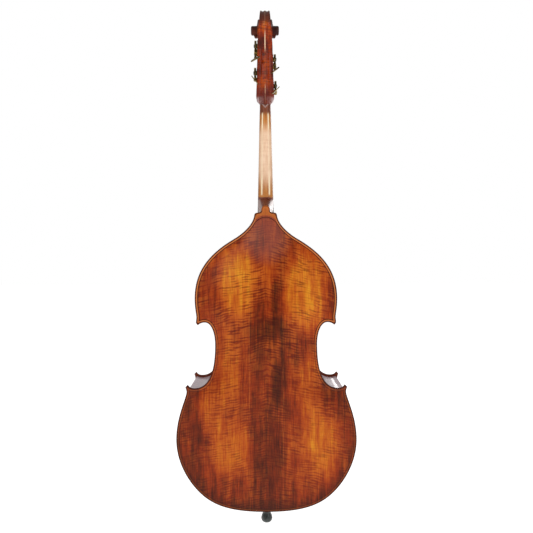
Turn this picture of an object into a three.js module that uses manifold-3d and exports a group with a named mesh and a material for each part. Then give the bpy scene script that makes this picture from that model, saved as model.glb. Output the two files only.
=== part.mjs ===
// Double bass, 3/4 size, carved, with flamed back and ribs, an ebony fingerboard, four separate brass
// tuning machines and a rubber-tipped endpin. Millimetres, +Z up. The origin is the point where the rubber
// tip stands on the floor. The strings face -Y and the arched back faces +Y. The bass side is -X.
import * as THREE from "three";
import { mergeVertices } from "three/addons/utils/BufferGeometryUtils.js";
import Module from "manifold-3d";

const wasm = await Module();
wasm.setup();

// Body
const GAP = 0.3; // left between two pieces that touch
const BODY_BOTTOM = 100; // height of the body's lower edge over the floor before it is lowered
const EDGE = 7; // thickness of both plates at their edge
const RIB_FRONT = -100; // plane where the ribs meet the top plate
const RIB_BACK = 100; // plane where the ribs meet the back plate, below the bend
const BEND_AT = 614; // height over the body's lower edge where the back starts to lean in
const BEND_BY = 20; // how far the back leans in at the upper edge
const BODY_LENGTH = 1100;
const OVERHANG = 9; // plate edge beyond the ribs
const RIB = 2.5;
const RIB_ON_BLOCK = 3.1; // rib with its glue where it lies on a block
const LINING = 6; // extra thickness of the rib where its linings are glued
const LINING_TALL = 20;
const TOP_ARCH = 28;
const BACK_ARCH = 37;
const SHELL = 7.4; // thickness of the carved plates away from the edge

// Neck, in its own frame: up the neck, and forward out of the gluing plane of the fingerboard
const NECK_TILT = THREE.MathUtils.degToRad(11.5);
const NECK_Y = -137; // gluing plane at the upper edge of the body
const NECK_Z = 1200;
const NUT_AT = 455; // where the neck ends and the pegbox starts
const FINGERBOARD_LENGTH = 877;
const BOARD_RADIUS = 78; // crosswise curve of fingerboard, nut and bridge
const BOARD_EDGE = 10;
const NUT_HALF = 21.75;
const BOARD_END_HALF = 46;
const HEEL_TOP = 1278;
const BUTTON_TOP = 1227;
const ROOT_BOTTOM = 1188; // lower end of the neck root, let into the body

// Pegbox, in its own frame: up the pegbox, and forward
const PEGBOX_TILT = THREE.MathUtils.degToRad(14);
const ROLLER_DEPTH = -22; // roller axes behind the gluing plane
const ROLLER = 8.5;
const SCROLL_UP = 268; // eye of the scroll in the pegbox frame
const SCROLL_FORWARD = -11.5;
const EYE_HALF = 53.5;

// Tuning machines: worm below the gear, key pointing back
const TEETH = 20;
const GEAR_PITCH = 18;
const WORM_PITCH_RADIUS = 5;
const WORM_LEAD = (2 * Math.PI * GEAR_PITCH) / TEETH;
const SHAFTS_APART = GEAR_PITCH + WORM_PITCH_RADIUS;
const PLATE_THICK = 1.8;
const GEAR_MIDDLE = 8.6; // middle of gear and worm over the inner face of the machine plate
const GEAR_FACE = 8;
const KEY_AT = 68; // middle of the key's wings along the worm shaft
// place up the pegbox, side, slope of the worm shaft, inner face of the plate, turn of the key,
// string radius
const MACHINES = [
  { name: "e", up: 67.5, side: -1, slope: 15, face: 31.6, turned: -47, string: 1.5, lane: -3 },
  { name: "g", up: 115.5, side: 1, slope: 24, face: 30.2, turned: 40, string: 0.8, lane: 3 },
  { name: "a", up: 163.5, side: -1, slope: 36, face: 29, turned: -54, string: 1.15, lane: -1 },
  { name: "d", up: 211.5, side: 1, slope: 44, face: 27.8, turned: -63, string: 0.95, lane: 1 },
];

// Strings
const BRIDGE_Z = 585;
const BRIDGE_TOP = 293; // crown of the bridge in front of the endpin axis
const BRIDGE_SPREAD = 14; // half the spacing of the strings at the bridge
const NUT_SPREAD = 5;
const TAIL_SPREAD = 11;

// Tailpiece, in its own frame: up its length, and forward
const TAIL_TILT = THREE.MathUtils.degToRad(20.5);
const TAIL_Y = -125;
const TAIL_Z = 127;
const TAIL_LENGTH = 312;
const STRING_HOLE_AT = 284;

// Endpin
const ROD = 5;
const SNUG = 0.35; // clearance around the rod
const WIRE = 1.75;
const WIRE_Z = 96.4;
const SCREW_Z = 72;
const LOWERED = 8; // all but the rod and its rubber tip is lowered this far over the rod

// Half outline of the plates, from the bottom seam up. Each curve: two handles, its end, its steps.
const LOWER_BOUT = [
  [128, 0, 184, 23, 225, 54, 5],
  [272, 90, 331, 170, 331, 266, 7],
  [331, 351, 292.5, 419, 292.5, 442, 5],
];
const LOWER_CORNER = [
  [293, 447, 295, 453, 297, 458, 2],
  [294, 461, 291, 464, 288, 467, 1],
  [281, 456, 274, 454, 263, 454, 3],
];
const WAIST_BELOW = [[207, 454, 187, 521, 187, 614, 7]];
const WAIST_ABOVE = [[187, 653, 199.5, 695, 226, 695, 6]];
const UPPER_CORNER = [
  [236, 695, 245, 691, 251, 685, 2],
  [253, 687, 255, 690, 257.5, 693, 1],
  [257.5, 699, 256.5, 705, 256, 712, 2],
];
const UPPER_BOUT = [
  [256, 727, 262.6, 746, 262.6, 784, 3],
  [262.6, 885, 208, 949, 118, 1002, 8],
  [76, 1027, 44, 1062, 42, 1092, 5],
];
// Half outline of the carved arch, inside the flat margin
const ARCH_EDGE = [
  [150, 14, 317, 85, 317, 266, 7],
  [317, 345, 286, 402, 243, 446, 4],
  [200, 490, 172, 545, 172, 614, 3],
  [172, 655, 200, 690, 225, 718, 2],
  [243, 738, 249, 760, 249, 784, 2],
  [249, 872, 195, 932, 108, 984, 4],
  [70, 1008, 42, 1035, 34, 1072, 2],
];

const SPRUCE = 0xb5672c;
const MAPLE = 0x8e3a17;
const PALE_MAPLE = 0xc89a78;
const RAW_WOOD = 0xd9bd8d;
const EBONY = 0x1b1714;
const BRASS = 0x9a8248;
const STEEL = 0x8d9093;
const RUBBER = 0x2e3431;

const bass = new THREE.Group();
bass.name = "double_bass";
const instrument = new THREE.Group();
instrument.name = "instrument";
instrument.position.z = -LOWERED;
bass.add(instrument);

// ---- shaping tools ----

function signedVolume(position, index) {
  const a = new THREE.Vector3();
  const b = new THREE.Vector3();
  const c = new THREE.Vector3();
  let sum = 0;
  for (let i = 0; i < index.length; i += 3) {
    a.fromBufferAttribute(position, index[i]);
    b.fromBufferAttribute(position, index[i + 1]);
    c.fromBufferAttribute(position, index[i + 2]);
    sum += a.dot(b.cross(c));
  }
  return sum / 6;
}

// A closed surface from points and triangles, turned so that it faces out.
function closed(points, triangles) {
  const geometry = new THREE.BufferGeometry().setFromPoints(points);
  const index = Array.from(triangles);
  if (signedVolume(geometry.getAttribute("position"), index) < 0) {
    index.reverse();
  }
  geometry.setIndex(index);
  return geometry;
}

// The same surface with every point moved by a rule.
function moved(geometry, rule) {
  const flat = geometry.index ? geometry.toNonIndexed() : geometry;
  const from = flat.getAttribute("position");
  const points = [];
  for (let i = 0; i < from.count; i++) {
    points.push(rule(new THREE.Vector3().fromBufferAttribute(from, i)));
  }
  return closed(points, points.keys());
}

function mirrored(geometry) {
  return moved(geometry, (p) => p.setX(-p.x));
}

// Skin over a row of rings with the same number of points, closed at both ends.
function loft(rings) {
  const count = rings[0].length;
  const points = rings.flat();
  const triangles = [];
  for (let i = 0; i + 1 < rings.length; i++) {
    for (let j = 0; j < count; j++) {
      const a = i * count + j;
      const b = i * count + ((j + 1) % count);
      triangles.push(a, b, b + count, a, b + count, a + count);
    }
  }
  const last = (rings.length - 1) * count;
  const capOf = (ring) => {
    const normal = new THREE.Vector3();
    ring.forEach((p, i) => {
      const next = ring[(i + 1) % count].clone().sub(ring[0]);
      normal.add(p.clone().sub(ring[0]).cross(next));
    });
    normal.normalize();
    const across = ring[1].clone().sub(ring[0]);
    across.addScaledVector(normal, -across.dot(normal)).normalize();
    const along = normal.clone().cross(across);
    const flat = ring.map((p) => new THREE.Vector2(p.dot(across), p.dot(along)));
    return THREE.ShapeUtils.triangulateShape(flat, []);
  };
  capOf(rings[0]).forEach(([a, b, c]) => triangles.push(a, c, b));
  capOf(rings[rings.length - 1]).forEach(([a, b, c]) => triangles.push(last + a, last + b, last + c));
  return closed(points, triangles);
}

function solid(geometry) {
  const bare = new THREE.BufferGeometry();
  const source = geometry.index ? geometry.toNonIndexed() : geometry;
  bare.setAttribute("position", source.getAttribute("position"));
  const merged = mergeVertices(bare, 1e-4);
  const mesh = new wasm.Mesh({
    numProp: 3,
    vertProperties: merged.getAttribute("position").array,
    triVerts: new Uint32Array(merged.index.array),
  });
  return new wasm.Manifold(mesh);
}

function surface(body) {
  const mesh = body.getMesh();
  const geometry = new THREE.BufferGeometry();
  geometry.setAttribute("position", new THREE.BufferAttribute(new Float32Array(mesh.vertProperties), 3));
  geometry.setIndex(new THREE.BufferAttribute(new Uint32Array(mesh.triVerts), 1));
  return geometry;
}

function joined(geometries) {
  return geometries.map(solid).reduce((all, next) => all.add(next));
}

function piece(name, made, colour, group = instrument) {
  const geometry = made.isBufferGeometry ? made : surface(made);
  geometry.computeVertexNormals();
  const mesh = new THREE.Mesh(geometry, new THREE.MeshStandardMaterial({ color: colour }));
  mesh.name = name;
  group.add(mesh);
}

// Points along a chain of curves.
function traced(start, curves) {
  const points = [new THREE.Vector2(start[0], start[1])];
  for (const [ax, ay, bx, by, x, y, steps] of curves) {
    const from = points[points.length - 1];
    const curve = new THREE.CubicBezierCurve(
      from,
      new THREE.Vector2(ax, ay),
      new THREE.Vector2(bx, by),
      new THREE.Vector2(x, y),
    );
    points.push(...curve.getPoints(steps).slice(1));
  }
  return points;
}

// Both halves of an outline that starts and ends on the centre line.
function bothHalves(half) {
  const other = half
    .filter((p) => p.x > 0.01)
    .map((p) => new THREE.Vector2(-p.x, p.y))
    .reverse();
  return half.concat(other);
}

function inwardNormals(line) {
  return line.map((p, i) => {
    const before = line[Math.max(i - 1, 0)];
    const after = line[Math.min(i + 1, line.length - 1)];
    const along = after.clone().sub(before).normalize();
    return new THREE.Vector2(-along.y, along.x);
  });
}

function inset(line, by) {
  const normals = inwardNormals(line);
  return line.map((p, i) => p.clone().addScaledVector(normals[i], by));
}

// Lean of the back plate's plane at a height over the body's lower edge.
function lean(height) {
  return (-BEND_BY * Math.max(0, height - BEND_AT)) / (BODY_LENGTH - BEND_AT);
}

// Board cut to an outline seen from the front, between two depths. leanFrom and leanTo are 1 where that
// face follows the lean of the back.
function board(outline, fromY, toY, leanFrom = 0, leanTo = 0) {
  const shape = new THREE.Shape(outline);
  const flat = new THREE.ExtrudeGeometry(shape, { depth: 1, bevelEnabled: false });
  return moved(flat, (p) => {
    const y = THREE.MathUtils.lerp(fromY + leanFrom * lean(p.y), toY + leanTo * lean(p.y), p.z);
    return new THREE.Vector3(p.x, y, BODY_BOTTOM + p.y);
  });
}

function box(x0, x1, y0, y1, z0, z1) {
  const geometry = new THREE.BoxGeometry(x1 - x0, y1 - y0, z1 - z0);
  return geometry.translate((x0 + x1) / 2, (y0 + y1) / 2, (z0 + z1) / 2);
}

// Turned piece on a vertical axis, from [radius, height] pairs that start and end on the axis.
function turned(profile, segments) {
  const points = profile.map(([radius, height]) => new THREE.Vector2(radius, height));
  const lathe = new THREE.LatheGeometry(points, segments);
  return moved(lathe, (p) => new THREE.Vector3(p.x, p.z, p.y));
}

// Frame with an origin and the directions of its first two axes; the third is their cross product.
function frame(origin, first, second) {
  const third = first.clone().cross(second);
  return new THREE.Matrix4().makeBasis(first, second, third).setPosition(origin);
}

// Round bar along a line of points, with mitred corners.
function bar(points, radius, sides) {
  const rings = [];
  let across = new THREE.Vector3(1, 0, 0);
  points.forEach((p, i) => {
    const before = points[Math.max(i - 1, 0)];
    const after = points[Math.min(i + 1, points.length - 1)];
    const coming = p.clone().sub(before).normalize();
    const going = after.clone().sub(p).normalize();
    if (i === 0) coming.copy(going);
    if (i === points.length - 1) going.copy(coming);
    const along = coming.clone().add(going).normalize();
    across = across.clone().addScaledVector(coming, -across.dot(coming)).normalize();
    const other = coming.clone().cross(across);
    const ring = [];
    for (let k = 0; k < sides; k++) {
      const angle = (2 * Math.PI * k) / sides;
      const offset = across.clone().multiplyScalar(Math.cos(angle) * radius);
      offset.addScaledVector(other, Math.sin(angle) * radius);
      // slide the point along the incoming run until it lies in the mitre plane
      offset.addScaledVector(coming, -offset.dot(along) / coming.dot(along));
      ring.push(p.clone().add(offset));
    }
    rings.push(ring);
  });
  return loft(rings);
}

// ---- plates ----

const lowerBout = traced([0, 0], LOWER_BOUT);
const lowerCorner = traced([292.5, 442], LOWER_CORNER);
const waistBelow = traced([263, 454], WAIST_BELOW);
const waistAbove = traced([187, 614], WAIST_ABOVE);
const upperCorner = traced([226, 695], UPPER_CORNER);
const upperBout = traced([256, 712], UPPER_BOUT);
const crest = [
  new THREE.Vector2(38, 1098),
  new THREE.Vector2(33, BODY_LENGTH),
  new THREE.Vector2(0, BODY_LENGTH),
];
const lowerHalf = [...lowerBout, ...lowerCorner.slice(1), ...waistBelow.slice(1)];
const upperHalf = [...waistAbove, ...upperCorner.slice(1), ...upperBout.slice(1)];

// Height of the carved arch, between 0 and 1, over a point of the plate.
function archAt(x, half, height) {
  const along = Math.abs((2 * (height - 14)) / (1072 - 14) - 1);
  const lengthwise = Math.pow(1 - Math.pow(along, 2.6), 1.2);
  const crosswise = Math.pow(1 - Math.pow(x / half, 2), 1.5);
  return lengthwise * crosswise;
}

// Closed body between the carved surface and a flat floor, both as heights out from the rib plane.
function domed(arch, over, floor, outwards, plane, leans) {
  const columns = 5;
  const rows = traced([40, 14], ARCH_EDGE);
  const place = (x, height, out) => {
    const y = plane + outwards * out + leans * lean(height);
    return new THREE.Vector3(x, y, BODY_BOTTOM + height);
  };
  const rings = rows.map((row) => {
    const carved = [];
    const under = [];
    for (let j = -columns; j <= columns; j++) {
      const x = row.x * Math.sin((Math.PI / 2) * (j / columns));
      const out = Math.max(over + arch * archAt(x, row.x, row.y), floor + 0.5);
      carved.push(place(x, row.y, out));
      under.unshift(place(x, row.y, floor));
    }
    return carved.concat(under);
  });
  return loft(rings);
}

function plate(plane, outwards, arch, leans, extras) {
  const outer = plane + outwards * EDGE;
  const below = bothHalves(lowerHalf);
  const above = bothHalves([...upperHalf, ...crest]);
  const whole = joined([
    board(below, plane, outer, leans, leans),
    board(above, plane, outer, leans, leans),
    domed(arch, EDGE - 0.15, EDGE - 2, outwards, plane, leans),
    ...extras,
  ]);
  return whole.subtract(solid(domed(arch, EDGE - SHELL, -12, outwards, plane, leans)));
}

// Sound hole: two round eyes joined by a curved slot.
function soundHole() {
  const spine = new THREE.SplineCurve(
    [
      [66, 582],
      [80, 588],
      [93, 563],
      [101, 485],
      [108, 408],
      [121, 381],
      [136, 387],
    ].map(([x, y]) => new THREE.Vector2(x, y)),
  );
  const steps = 12;
  const left = [];
  const right = [];
  for (let i = 0; i <= steps; i++) {
    const p = spine.getPoint(i / steps);
    const along = spine.getTangent(i / steps);
    const half = 2 + 4.2 * Math.sin((Math.PI * i) / steps);
    left.push(new THREE.Vector2(p.x - along.y * half, p.y + along.x * half));
    right.unshift(new THREE.Vector2(p.x + along.y * half, p.y - along.x * half));
  }
  const slot = board(left.concat(right), -160, -90);
  const eye = (x, height, radius) => {
    const round = new THREE.CylinderGeometry(radius, radius, 70, 14);
    return round.translate(x, -125, BODY_BOTTOM + height);
  };
  return joined([slot, eye(67, 574, 9.5), eye(135, 397, 13.5)]);
}

// ---- neck ----

const neckUp = new THREE.Vector3(0, Math.sin(NECK_TILT), Math.cos(NECK_TILT));
const neckForward = new THREE.Vector3(0, -Math.cos(NECK_TILT), Math.sin(NECK_TILT));
const neckOrigin = new THREE.Vector3(0, NECK_Y, NECK_Z);

function onNeck(x, forward, up) {
  const p = neckOrigin.clone().addScaledVector(neckUp, up).addScaledVector(neckForward, forward);
  return p.setX(x);
}

function boardHalf(up) {
  return THREE.MathUtils.mapLinear(up, NUT_AT, NUT_AT - FINGERBOARD_LENGTH, NUT_HALF, BOARD_END_HALF);
}

// Rounded section of the neck: flat in front, round behind, as a share of a super-ellipse.
function neckSection(place, half, backHalf, depth, roundness) {
  const ring = [];
  const steps = 12;
  for (let i = 0; i <= steps; i++) {
    const angle = (Math.PI * i) / steps;
    const back = i === 0 || i === steps ? 0 : Math.pow(Math.sin(angle), roundness);
    const cosine = i * 2 === steps ? 0 : Math.cos(angle);
    const side = Math.sign(cosine) * Math.pow(Math.abs(cosine), roundness);
    ring.push(place(side * THREE.MathUtils.lerp(half, backHalf, back), back * depth));
  }
  return ring;
}

function neckFrontY(z) {
  return NECK_Y + (z - NECK_Z) * Math.tan(NECK_TILT);
}

function neck() {
  const rings = [];
  const level = (z, half, backHalf, backY, roundness) => {
    const front = neckFrontY(z);
    const place = (x, depth) => new THREE.Vector3(x, front + depth, z);
    rings.push(neckSection(place, half, backHalf, backY - front, roundness));
  };
  const heelBack = RIB_BACK - BEND_BY - GAP;
  level(ROOT_BOTTOM, 27, 12, heelBack, 0.3);
  level(NECK_Z + 12, 29, 12.5, heelBack, 0.3);
  const steps = 7;
  for (let i = 0; i <= steps; i++) {
    const rise = Math.pow(i / steps, 2.2);
    const z = THREE.MathUtils.lerp(BUTTON_TOP - 2, HEEL_TOP, rise);
    const back = THREE.MathUtils.lerp(heelBack, -88, i / steps);
    const half = THREE.MathUtils.lerp(30, boardHalf(z - NECK_Z), i / steps);
    const backHalf = THREE.MathUtils.lerp(12, 29, i / steps);
    level(z, half, backHalf, back, THREE.MathUtils.lerp(0.3, 0.85, i / steps));
  }
  for (const z of [1300, 1370, 1450, 1530, 1600, 1634]) {
    const up = (z - NECK_Z) / Math.cos(NECK_TILT);
    const half = boardHalf(up) - GAP;
    const depth = THREE.MathUtils.mapLinear(z, 1300, 1634, 32, 26.5) / Math.cos(NECK_TILT);
    level(z, half, half, neckFrontY(z) + depth, 0.9);
  }
  const end = (x, depth) => onNeck(x, -depth, NUT_AT);
  rings.push(neckSection(end, NUT_HALF, NUT_HALF, 26.5, 0.9));
  return loft(rings);
}

// Crown of fingerboard and nut in front of the gluing plane.
function crownAt(x, half) {
  return BOARD_EDGE + (half * half - x * x) / (2 * BOARD_RADIUS);
}

function crownedBlock(upFrom, upTo, steps, raise, scoop) {
  const rings = [];
  for (let i = 0; i <= steps; i++) {
    const up = THREE.MathUtils.lerp(upFrom, upTo, i / steps);
    const half = boardHalf(up);
    const hollow = up < 0 ? scoop * Math.min(1, -up / 60) : 0;
    const ring = [onNeck(-half, GAP, up), onNeck(0, GAP + hollow, up), onNeck(half, GAP, up)];
    const sides = 8;
    for (let j = 0; j <= sides; j++) {
      const x = half * (1 - (2 * j) / sides);
      ring.push(onNeck(x, crownAt(x, half) + raise, up));
    }
    rings.push(ring);
  }
  return loft(rings);
}

// ---- pegbox and scroll ----

const pegboxUp = new THREE.Vector3(0, Math.sin(PEGBOX_TILT), Math.cos(PEGBOX_TILT));
const pegboxForward = new THREE.Vector3(0, -Math.cos(PEGBOX_TILT), Math.sin(PEGBOX_TILT));
const pegboxOrigin = onNeck(0, 0, NUT_AT);

function onPegbox(x, forward, up) {
  const p = pegboxOrigin.clone().addScaledVector(pegboxUp, up).addScaledVector(pegboxForward, forward);
  return p.setX(x);
}

// Bevelled rectangle across the pegbox.
function pegboxSection(half, front, back, bevel, up) {
  const flat = [
    [half, front],
    [half, back + bevel],
    [half - bevel * 0.3, back + bevel * 0.3],
    [half - bevel, back],
    [-half + bevel, back],
    [-half + bevel * 0.3, back + bevel * 0.3],
    [-half, back + bevel],
    [-half, front],
  ];
  return flat.map(([x, forward]) => onPegbox(x, forward, up));
}

function pegboxBlock() {
  const neckEnd = [
    [NUT_HALF, 0],
    [NUT_HALF, -14],
    [NUT_HALF - 3, -21],
    [NUT_HALF - 9, -27],
    [-NUT_HALF + 9, -27],
    [-NUT_HALF + 3, -21],
    [-NUT_HALF, -14],
    [-NUT_HALF, 0],
  ].map(([x, forward]) => onNeck(x, forward, NUT_AT + GAP));
  return loft([
    neckEnd,
    pegboxSection(29, 4, -41, 12, 5),
    pegboxSection(34, 6, -52, 8, 13),
    pegboxSection(35, 6, -58, 6, 27),
    pegboxSection(33.5, 5, -59, 6, 62),
    pegboxSection(31.8, 4, -57, 6, 105),
    pegboxSection(30.2, 2, -52, 6, 160),
    pegboxSection(28.8, 2, -47, 5, 220),
    pegboxSection(27, -4, -42, 5, 246),
  ]);
}

function pegboxCavity() {
  const cut = (up, half, floor) => {
    const flat = [
      [half, 40],
      [half, floor],
      [-half, floor],
      [-half, 40],
    ];
    return flat.map(([x, forward]) => onPegbox(x, forward, up));
  };
  return loft([
    cut(16, 19.5, -24),
    cut(34, 19.5, -44),
    cut(90, 19.2, -47),
    cut(150, 18.8, -42),
    cut(228, 18, -36),
  ]);
}

// Outer radius and half width of the scroll after an angle in degrees, counted from the pegbox round
// the back.
function scrollRadius(angle) {
  const wound = Math.max(0, (angle - 180) / 630);
  return 68 - 8 * Math.max(0, (90 - angle) / 52) - 48 * Math.pow(wound, 0.8);
}

function scrollHalf(angle) {
  if (angle < 180) return THREE.MathUtils.mapLinear(angle, 38, 180, 27, 18.3);
  return 18.3 + 35 * Math.pow((angle - 180) / 690, 1.6);
}

// Pie-shaped slice of one turn of the scroll around the axis through its eyes.
function scrollSlice(from, to, axisHalf) {
  const around = (angle, radius, x) => {
    const turn = THREE.MathUtils.degToRad(angle);
    const up = SCROLL_UP - radius * Math.cos(turn);
    const forward = SCROLL_FORWARD - radius * Math.sin(turn);
    return onPegbox(x, forward, up);
  };
  const rings = [];
  const steps = Math.round((to - from) / 15);
  for (let i = 0; i <= steps; i++) {
    const angle = THREE.MathUtils.lerp(from, to, i / steps);
    const radius = scrollRadius(angle);
    const half = scrollHalf(angle);
    rings.push([around(angle, radius, half), around(angle, radius, -half)]);
  }
  const points = [axisHalf, -axisHalf].map((x) => onPegbox(x, SCROLL_FORWARD, SCROLL_UP));
  const triangles = [];
  rings.forEach((ring, i) => {
    points.push(...ring);
    if (i === 0) return;
    const a = 2 * i;
    const b = 2 * i + 2;
    triangles.push(0, a, b, 1, b + 1, a + 1, a, a + 1, b + 1, a, b + 1, b);
  });
  const end = points.length - 2;
  triangles.push(0, 1, 3, 0, 3, 2, 0, end, end + 1, 0, end + 1, 1);
  return closed(points, triangles);
}

function scrollBody() {
  const slices = [];
  const addTurn = (from, to, axisHalf) => {
    for (let angle = from; angle < to; angle += 90) {
      slices.push(scrollSlice(angle, Math.min(angle + 90, to), axisHalf));
    }
  };
  addTurn(38, 360, 23);
  addTurn(360, 720, 38);
  addTurn(720, 855, 48);
  const eyeAxis = frame(onPegbox(0, SCROLL_FORWARD, SCROLL_UP), pegboxUp, pegboxForward);
  const eye = new THREE.CylinderGeometry(19, 19, 2 * EYE_HALF, 24).rotateX(Math.PI / 2);
  eye.applyMatrix4(eyeAxis);
  return joined([pegboxBlock(), ...slices, eye]);
}

// ---- tuning machines ----

// Local frame of a machine on the treble side: along the worm shaft to the key, up to the gear, out of
// the plate.
function machineFrame(machine) {
  const slope = THREE.MathUtils.degToRad(machine.slope);
  const along = new THREE.Vector3(0, Math.cos(slope), -Math.sin(slope));
  const up = new THREE.Vector3(0, Math.sin(slope), Math.cos(slope));
  return frame(onPegbox(machine.face, ROLLER_DEPTH, machine.up), along, up);
}

function onSide(machine, geometry) {
  const placed = geometry.applyMatrix4(machineFrame(machine));
  return machine.side < 0 ? mirrored(placed) : placed;
}

function roundBar(radius, from, to, sides) {
  return new THREE.CylinderGeometry(radius, radius, to - from, sides).translate(0, (from + to) / 2, 0);
}

// Bar out of the plate at the gear axis, and bar along the worm shaft.
function acrossBar(radius, from, to, sides) {
  return roundBar(radius, from, to, sides).rotateX(Math.PI / 2);
}

function shaftBar(radius, from, to, sides) {
  return roundBar(radius, from, to, sides).rotateZ(-Math.PI / 2).translate(0, -SHAFTS_APART, GEAR_MIDDLE);
}

function machinePlateShape(grow) {
  const shape = new THREE.Shape();
  const low = -SHAFTS_APART - 9 - grow;
  const high = -SHAFTS_APART + 9 + 2 * grow;
  const wrap = 0.6 - 0.1 * grow; // how far the round end reaches below the gear axis, in radians
  shape.moveTo(-20 - grow, low);
  shape.lineTo(29 + grow, low);
  shape.lineTo(29 + grow, high);
  shape.absarc(0, 0, 21 + grow, -wrap, Math.PI + wrap, false);
  shape.lineTo(-20 - grow, high);
  return shape;
}

function slabOf(shape, from, to, curveSegments) {
  const settings = { depth: to - from, bevelEnabled: false, curveSegments };
  const geometry = new THREE.ExtrudeGeometry(shape, settings);
  return geometry.translate(0, 0, from);
}

function machinePlate() {
  const lug = (from, to) => {
    const block = new THREE.BoxGeometry(to - from, 14, GEAR_MIDDLE + 6 - 1);
    return block.translate((from + to) / 2, -SHAFTS_APART, (GEAR_MIDDLE + 6 + 1) / 2);
  };
  const body = joined([slabOf(machinePlateShape(0), 0, PLATE_THICK, 8), lug(-20, -15.5), lug(15.5, 20)]);
  const rollerHole = solid(acrossBar(ROLLER + GAP, -5, 10, 16));
  const shaftHole = solid(shaftBar(3 + GAP, -30, 40, 12));
  return body.subtract(rollerHole).subtract(shaftHole);
}

// Worm with its shaft and the winged key; the thread is one screw ridge.
function wormAndKey(machine) {
  const sections = 8;
  const turns = 4; // the first and last quarter turn are left off
  const ridge = [];
  for (let i = 2; i <= turns * sections - 2; i++) {
    const angle = (2 * Math.PI * i) / sections;
    const centre = WORM_LEAD * (i / sections - turns / 2);
    const profile = [
      [3.2, -1.05],
      [6.1, -0.5],
      [6.1, 0.5],
      [3.2, 1.05],
    ];
    ridge.push(
      profile.map(([radius, along]) => {
        const out = radius * Math.sin(angle);
        const up = radius * Math.cos(angle);
        return new THREE.Vector3(centre + along, up - SHAFTS_APART, out + GEAR_MIDDLE);
      }),
    );
  }
  const wing = new THREE.Shape();
  wing.moveTo(-16, 3.5);
  wing.bezierCurveTo(-8, 4, -8, 9, -6, 14);
  wing.bezierCurveTo(-4, 19, 2, 20.5, 6, 18);
  wing.bezierCurveTo(11, 15, 9, 10, 8, 6);
  wing.lineTo(9, 0);
  wing.lineTo(8, -6);
  wing.bezierCurveTo(9, -10, 11, -15, 6, -18);
  wing.bezierCurveTo(2, -20.5, -4, -19, -6, -14);
  wing.bezierCurveTo(-8, -9, -8, -4, -16, -3.5);
  const key = slabOf(wing, -1.6, 1.6, 3);
  key.rotateX(THREE.MathUtils.degToRad(machine.side * machine.turned));
  key.translate(KEY_AT, -SHAFTS_APART, GEAR_MIDDLE);
  return joined([
    shaftBar(3, -21.5, KEY_AT - 2, 8),
    shaftBar(3.6, -14.6, 14.6, 8),
    shaftBar(4.6, 21, KEY_AT - 14, 8),
    loft(ridge),
    key,
  ]);
}

function gear() {
  const shape = new THREE.Shape();
  const step = (2 * Math.PI) / TEETH;
  const point = (radius, angle) => [radius * Math.sin(angle), -radius * Math.cos(angle)];
  for (let i = 0; i < TEETH; i++) {
    const middle = (i + 0.5) * step;
    const across = [
      [15.6, -0.26],
      [19.3, -0.12],
      [19.3, 0.12],
      [15.6, 0.26],
    ];
    across.forEach(([radius, share], k) => {
      const at = point(radius, middle + share * step);
      if (i === 0 && k === 0) shape.moveTo(...at);
      else shape.lineTo(...at);
    });
  }
  const bore = new THREE.Path();
  bore.absarc(0, 0, 5 + GAP, 0, 2 * Math.PI, true);
  shape.holes.push(bore);
  const face = slabOf(shape, GEAR_MIDDLE - GEAR_FACE / 2, GEAR_MIDDLE + GEAR_FACE / 2, 8);
  // the teeth lean with the thread
  const twist = WORM_LEAD / (2 * Math.PI * WORM_PITCH_RADIUS) / GEAR_PITCH;
  return moved(face, (p) => p.applyAxisAngle(new THREE.Vector3(0, 0, 1), twist * (p.z - GEAR_MIDDLE)));
}

function roller(machine) {
  const reach = machine.face + 19 + 5;
  return joined([
    acrossBar(5, -2, GEAR_MIDDLE + GEAR_FACE / 2, 12),
    acrossBar(ROLLER, -machine.face - 18, GEAR_MIDDLE - GEAR_FACE / 2 - GAP, 16),
    acrossBar(6, -reach, -machine.face - 17, 12),
  ]);
}

function gearScrew() {
  const base = GEAR_MIDDLE + GEAR_FACE / 2 + GAP;
  return turned(
    [
      [0, base],
      [7, base],
      [7, base + 1],
      [5.2, base + 2.4],
      [2.6, base + 3],
      [0, base + 3.1],
    ],
    12,
  );
}

// ---- bridge, tailpiece, strings ----

function bridgeEdge(x) {
  return BRIDGE_TOP - (x * x) / (2 * BOARD_RADIUS);
}

function bridge(topArch) {
  const half = traced([0, 166], [
    [18, 166, 28, 158, 31, 148, 5],
    [33, 142, 36, 138, 40, 136, 2],
    [40, 130, 40, 124, 40, 118, 1],
    [52, 118, 64, 118, 76, 118, 1],
    [76, 124, 76, 130, 76, 137, 1],
    [66, 140, 60, 146, 57, 156, 4],
    [55, 168, 62, 176, 57, 186, 3],
    [50, 190, 38, 188, 36, 198, 3],
    [38, 208, 52, 204, 58, 212, 3],
    [62, 224, 54, 250, 52, 278, 4],
  ]);
  const steps = 6;
  for (let i = 0; i <= steps; i++) {
    const x = 50 * (1 - i / steps);
    half.push(new THREE.Vector2(x, bridgeEdge(x)));
  }
  const shape = new THREE.Shape(bothHalves(half));
  const heart = new THREE.Path();
  heart.moveTo(0, 212);
  heart.bezierCurveTo(8, 220, 18, 228, 15, 240);
  heart.bezierCurveTo(12, 248, 3, 248, 0, 240);
  heart.bezierCurveTo(-3, 248, -12, 248, -15, 240);
  heart.bezierCurveTo(-18, 228, -8, 220, 0, 212);
  shape.holes.push(heart);
  const flat = new THREE.ExtrudeGeometry(shape, { depth: 1, bevelEnabled: false, curveSegments: 4 });
  const standing = moved(flat, (p) => {
    const thick = THREE.MathUtils.mapLinear(p.y, 118, BRIDGE_TOP, 22, 6.5);
    return new THREE.Vector3(p.x, -p.y, BRIDGE_Z + (p.z - 0.5) * thick);
  });
  return solid(standing).subtract(solid(topArch));
}

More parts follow.
